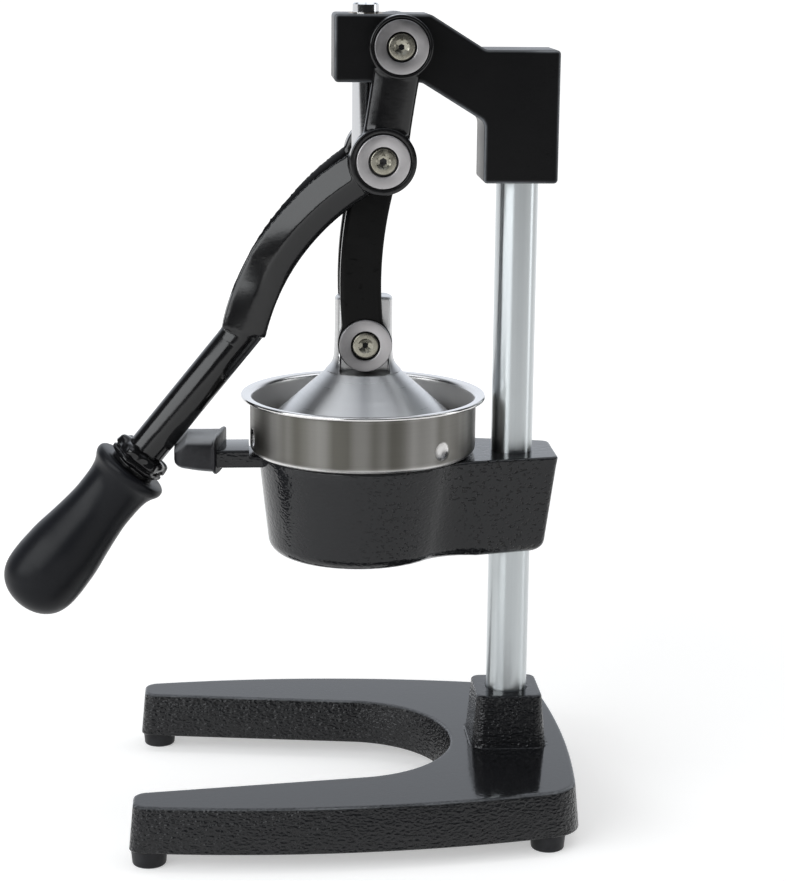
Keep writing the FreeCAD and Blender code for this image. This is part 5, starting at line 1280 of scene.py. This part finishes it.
# pale paper that glows to white for the camera and in mirrors, and still takes the shadow
def makeStage():
    s = stageLook
    size = s["floorSize"]
    mesh = bpy.data.meshes.new("studioFloor")
    corners = [(-size, -size, 0), (size, -size, 0), (size, size, 0), (-size, size, 0)]
    mesh.from_pydata(corners, [], [(0, 1, 2, 3)])
    floor = bpy.data.objects.new("studioFloor", mesh)
    bpy.context.scene.collection.objects.link(floor)
    paper = bpy.data.materials.new("paleFloor")
    paper.use_nodes = True
    tree = paper.node_tree
    tree.nodes.clear()
    rays = addNode(tree, "ShaderNodeLightPath").outputs
    glossy = rays["Is Glossy Ray"]
    seen = calc("MAXIMUM", calc("MAXIMUM", rays["Is Camera Ray"], glossy), rays["Is Transmission Ray"])
    # lamps light the middle, so the glow that keeps the paper white is weaker there, and the shadow stays
    place = objectPlace(tree)
    away = addNode(tree, "ShaderNodeVectorMath", operation="LENGTH")
    feed(away.inputs[0], place)
    strength = times(seen, ramp(away.outputs["Value"], *s["glowReach"], s["glow"]))
    diffuse = addNode(tree, "ShaderNodeBsdfDiffuse", Color=(*s["floorColour"], 1))
    glow = addNode(tree, "ShaderNodeEmission", Color=(*white, 1), Strength=strength)
    lit = addNode(tree, "ShaderNodeAddShader")
    feed(lit.inputs[0], diffuse.outputs[0])
    feed(lit.inputs[1], glow.outputs[0])
    # mirrored, the paper ends some way in front, where the studio is darker
    fade = times(calc("SUBTRACT", 1.0, ramp(splitUp(place)["Y"], *s["floorFade"])), glossy)
    dim = addNode(tree, "ShaderNodeEmission", Color=(*white, 1), Strength=s["floorFar"])
    paperEnd = addNode(tree, "ShaderNodeMixShader")
    for k, source in enumerate((fade, lit.outputs[0], dim.outputs[0])):
        feed(paperEnd.inputs[k], source)
    feed(addNode(tree, "ShaderNodeOutputMaterial").inputs[0], paperEnd.outputs[0])
    mesh.materials.append(paper)


# seen by the camera the world is white; mirrored, it is a studio, pale behind and above and darker
# towards the front
def makeWorld():
    s = stageLook
    world = bpy.data.worlds.new("studioWorld")
    bpy.context.scene.world = world
    world.use_nodes = True
    tree = world.node_tree
    way = splitUp(addNode(tree, "ShaderNodeTexCoord").outputs["Generated"])
    behind = times(ramp(way["Y"], *s["behindFrom"]), s["behindShare"])
    above = times(ramp(way["Z"], *s["aboveFrom"]), s["aboveShare"])
    mirrored = calc("MAXIMUM", calc("MAXIMUM", behind, above), s["frontShare"])
    rays = addNode(tree, "ShaderNodeLightPath").outputs
    glossy = rays["Is Glossy Ray"]
    seen = calc("MAXIMUM", rays["Is Camera Ray"], rays["Is Transmission Ray"])
    lit = addNode(tree, "ShaderNodeMix", data_type="FLOAT")
    for k, value in ((0, glossy), (2, s["worldLight"]), (3, mirrored)):
        feed(lit.inputs[k], value)
    backdrop = tree.nodes["Background"].inputs
    feed(backdrop["Color"], blend(glossy, white, s["worldTint"]))
    feed(backdrop["Strength"], calc("MAXIMUM", lit.outputs[0], seen))


# a frame that looks along a direction, upright and then rolled
def lookMatrix(at, forward, roll=0.0):
    f = np.array(forward, float)
    f /= np.linalg.norm(f)
    right = np.cross(f, (0, 0, 1.0))
    right /= np.linalg.norm(right)
    up = np.cross(right, f)
    c, s = math.cos(roll), math.sin(roll)
    matrix = np.eye(4)
    matrix[:3] = np.column_stack([c * right + s * up, c * up - s * right, -f, at])
    return Matrix(matrix.tolist())


lampLook = {
    "overheadLeft": {"at": (-0.62, 0.2, 1.85), "aim": (0, 0, 0.2), "size": (0.75, 1.4), "power": 2.9,
                     "colour": (0.96, 0.98, 1.0)},
    "overheadRight": {"at": (0.72, 0.2, 1.85), "aim": (0, 0, 0.2), "size": (0.85, 1.4), "power": 3.6,
                      "colour": (0.96, 0.98, 1.0)},
    "leftSoftbox": {"at": (-1.58, -1.2, 1.0), "aim": (0, 0, 0.25), "size": (2.4, 1.1), "power": 34.0,
                    "colour": (0.96, 0.985, 1.0)},
    "rightStrip": {"at": (2.1, -0.15, 0.55), "aim": (0.05, 0, 0.25), "size": (0.5, 1.7), "power": 5.0,
                   "colour": (0.96, 0.985, 1.0)}}


# area lamps that look from their place to their aim
def makeLamps():
    for name, s in lampLook.items():
        lamp = bpy.data.lights.new(name, "AREA")
        lamp.shape = "RECTANGLE"
        lamp.size, lamp.size_y = s["size"]
        lamp.energy = s["power"]
        lamp.color = s["colour"]
        holder = bpy.data.objects.new(name, lamp)
        holder.matrix_world = lookMatrix(s["at"], np.subtract(s["aim"], s["at"]))
        bpy.context.scene.collection.objects.link(holder)


cameraLook = {"at": (-0.02838, -1.08659, 0.43973), "yaw": 4.28, "pitch": 12.85, "roll": 0.59, "lens": 89.9,
              "sensor": 36.0, "clip": (0.01, 200.0)}


# the camera looks along its yaw and pitch, and is then rolled
def makeCamera():
    s = cameraLook
    lens = bpy.data.cameras.new("camera")
    lens.lens = s["lens"]
    lens.sensor_width = s["sensor"]
    lens.clip_start, lens.clip_end = s["clip"]
    yaw, pitch, roll = (math.radians(s[key]) for key in ("yaw", "pitch", "roll"))
    forward = (math.sin(yaw) * math.cos(pitch), math.cos(yaw) * math.cos(pitch), -math.sin(pitch))
    camera = bpy.data.objects.new("camera", lens)
    camera.matrix_world = lookMatrix(s["at"], forward, roll)
    bpy.context.scene.collection.objects.link(camera)
    bpy.context.scene.camera = camera


makeStage()
makeWorld()
makeLamps()
makeCamera()
bpy.context.scene.view_settings.view_transform = "Standard"
print("stage, light and camera set")
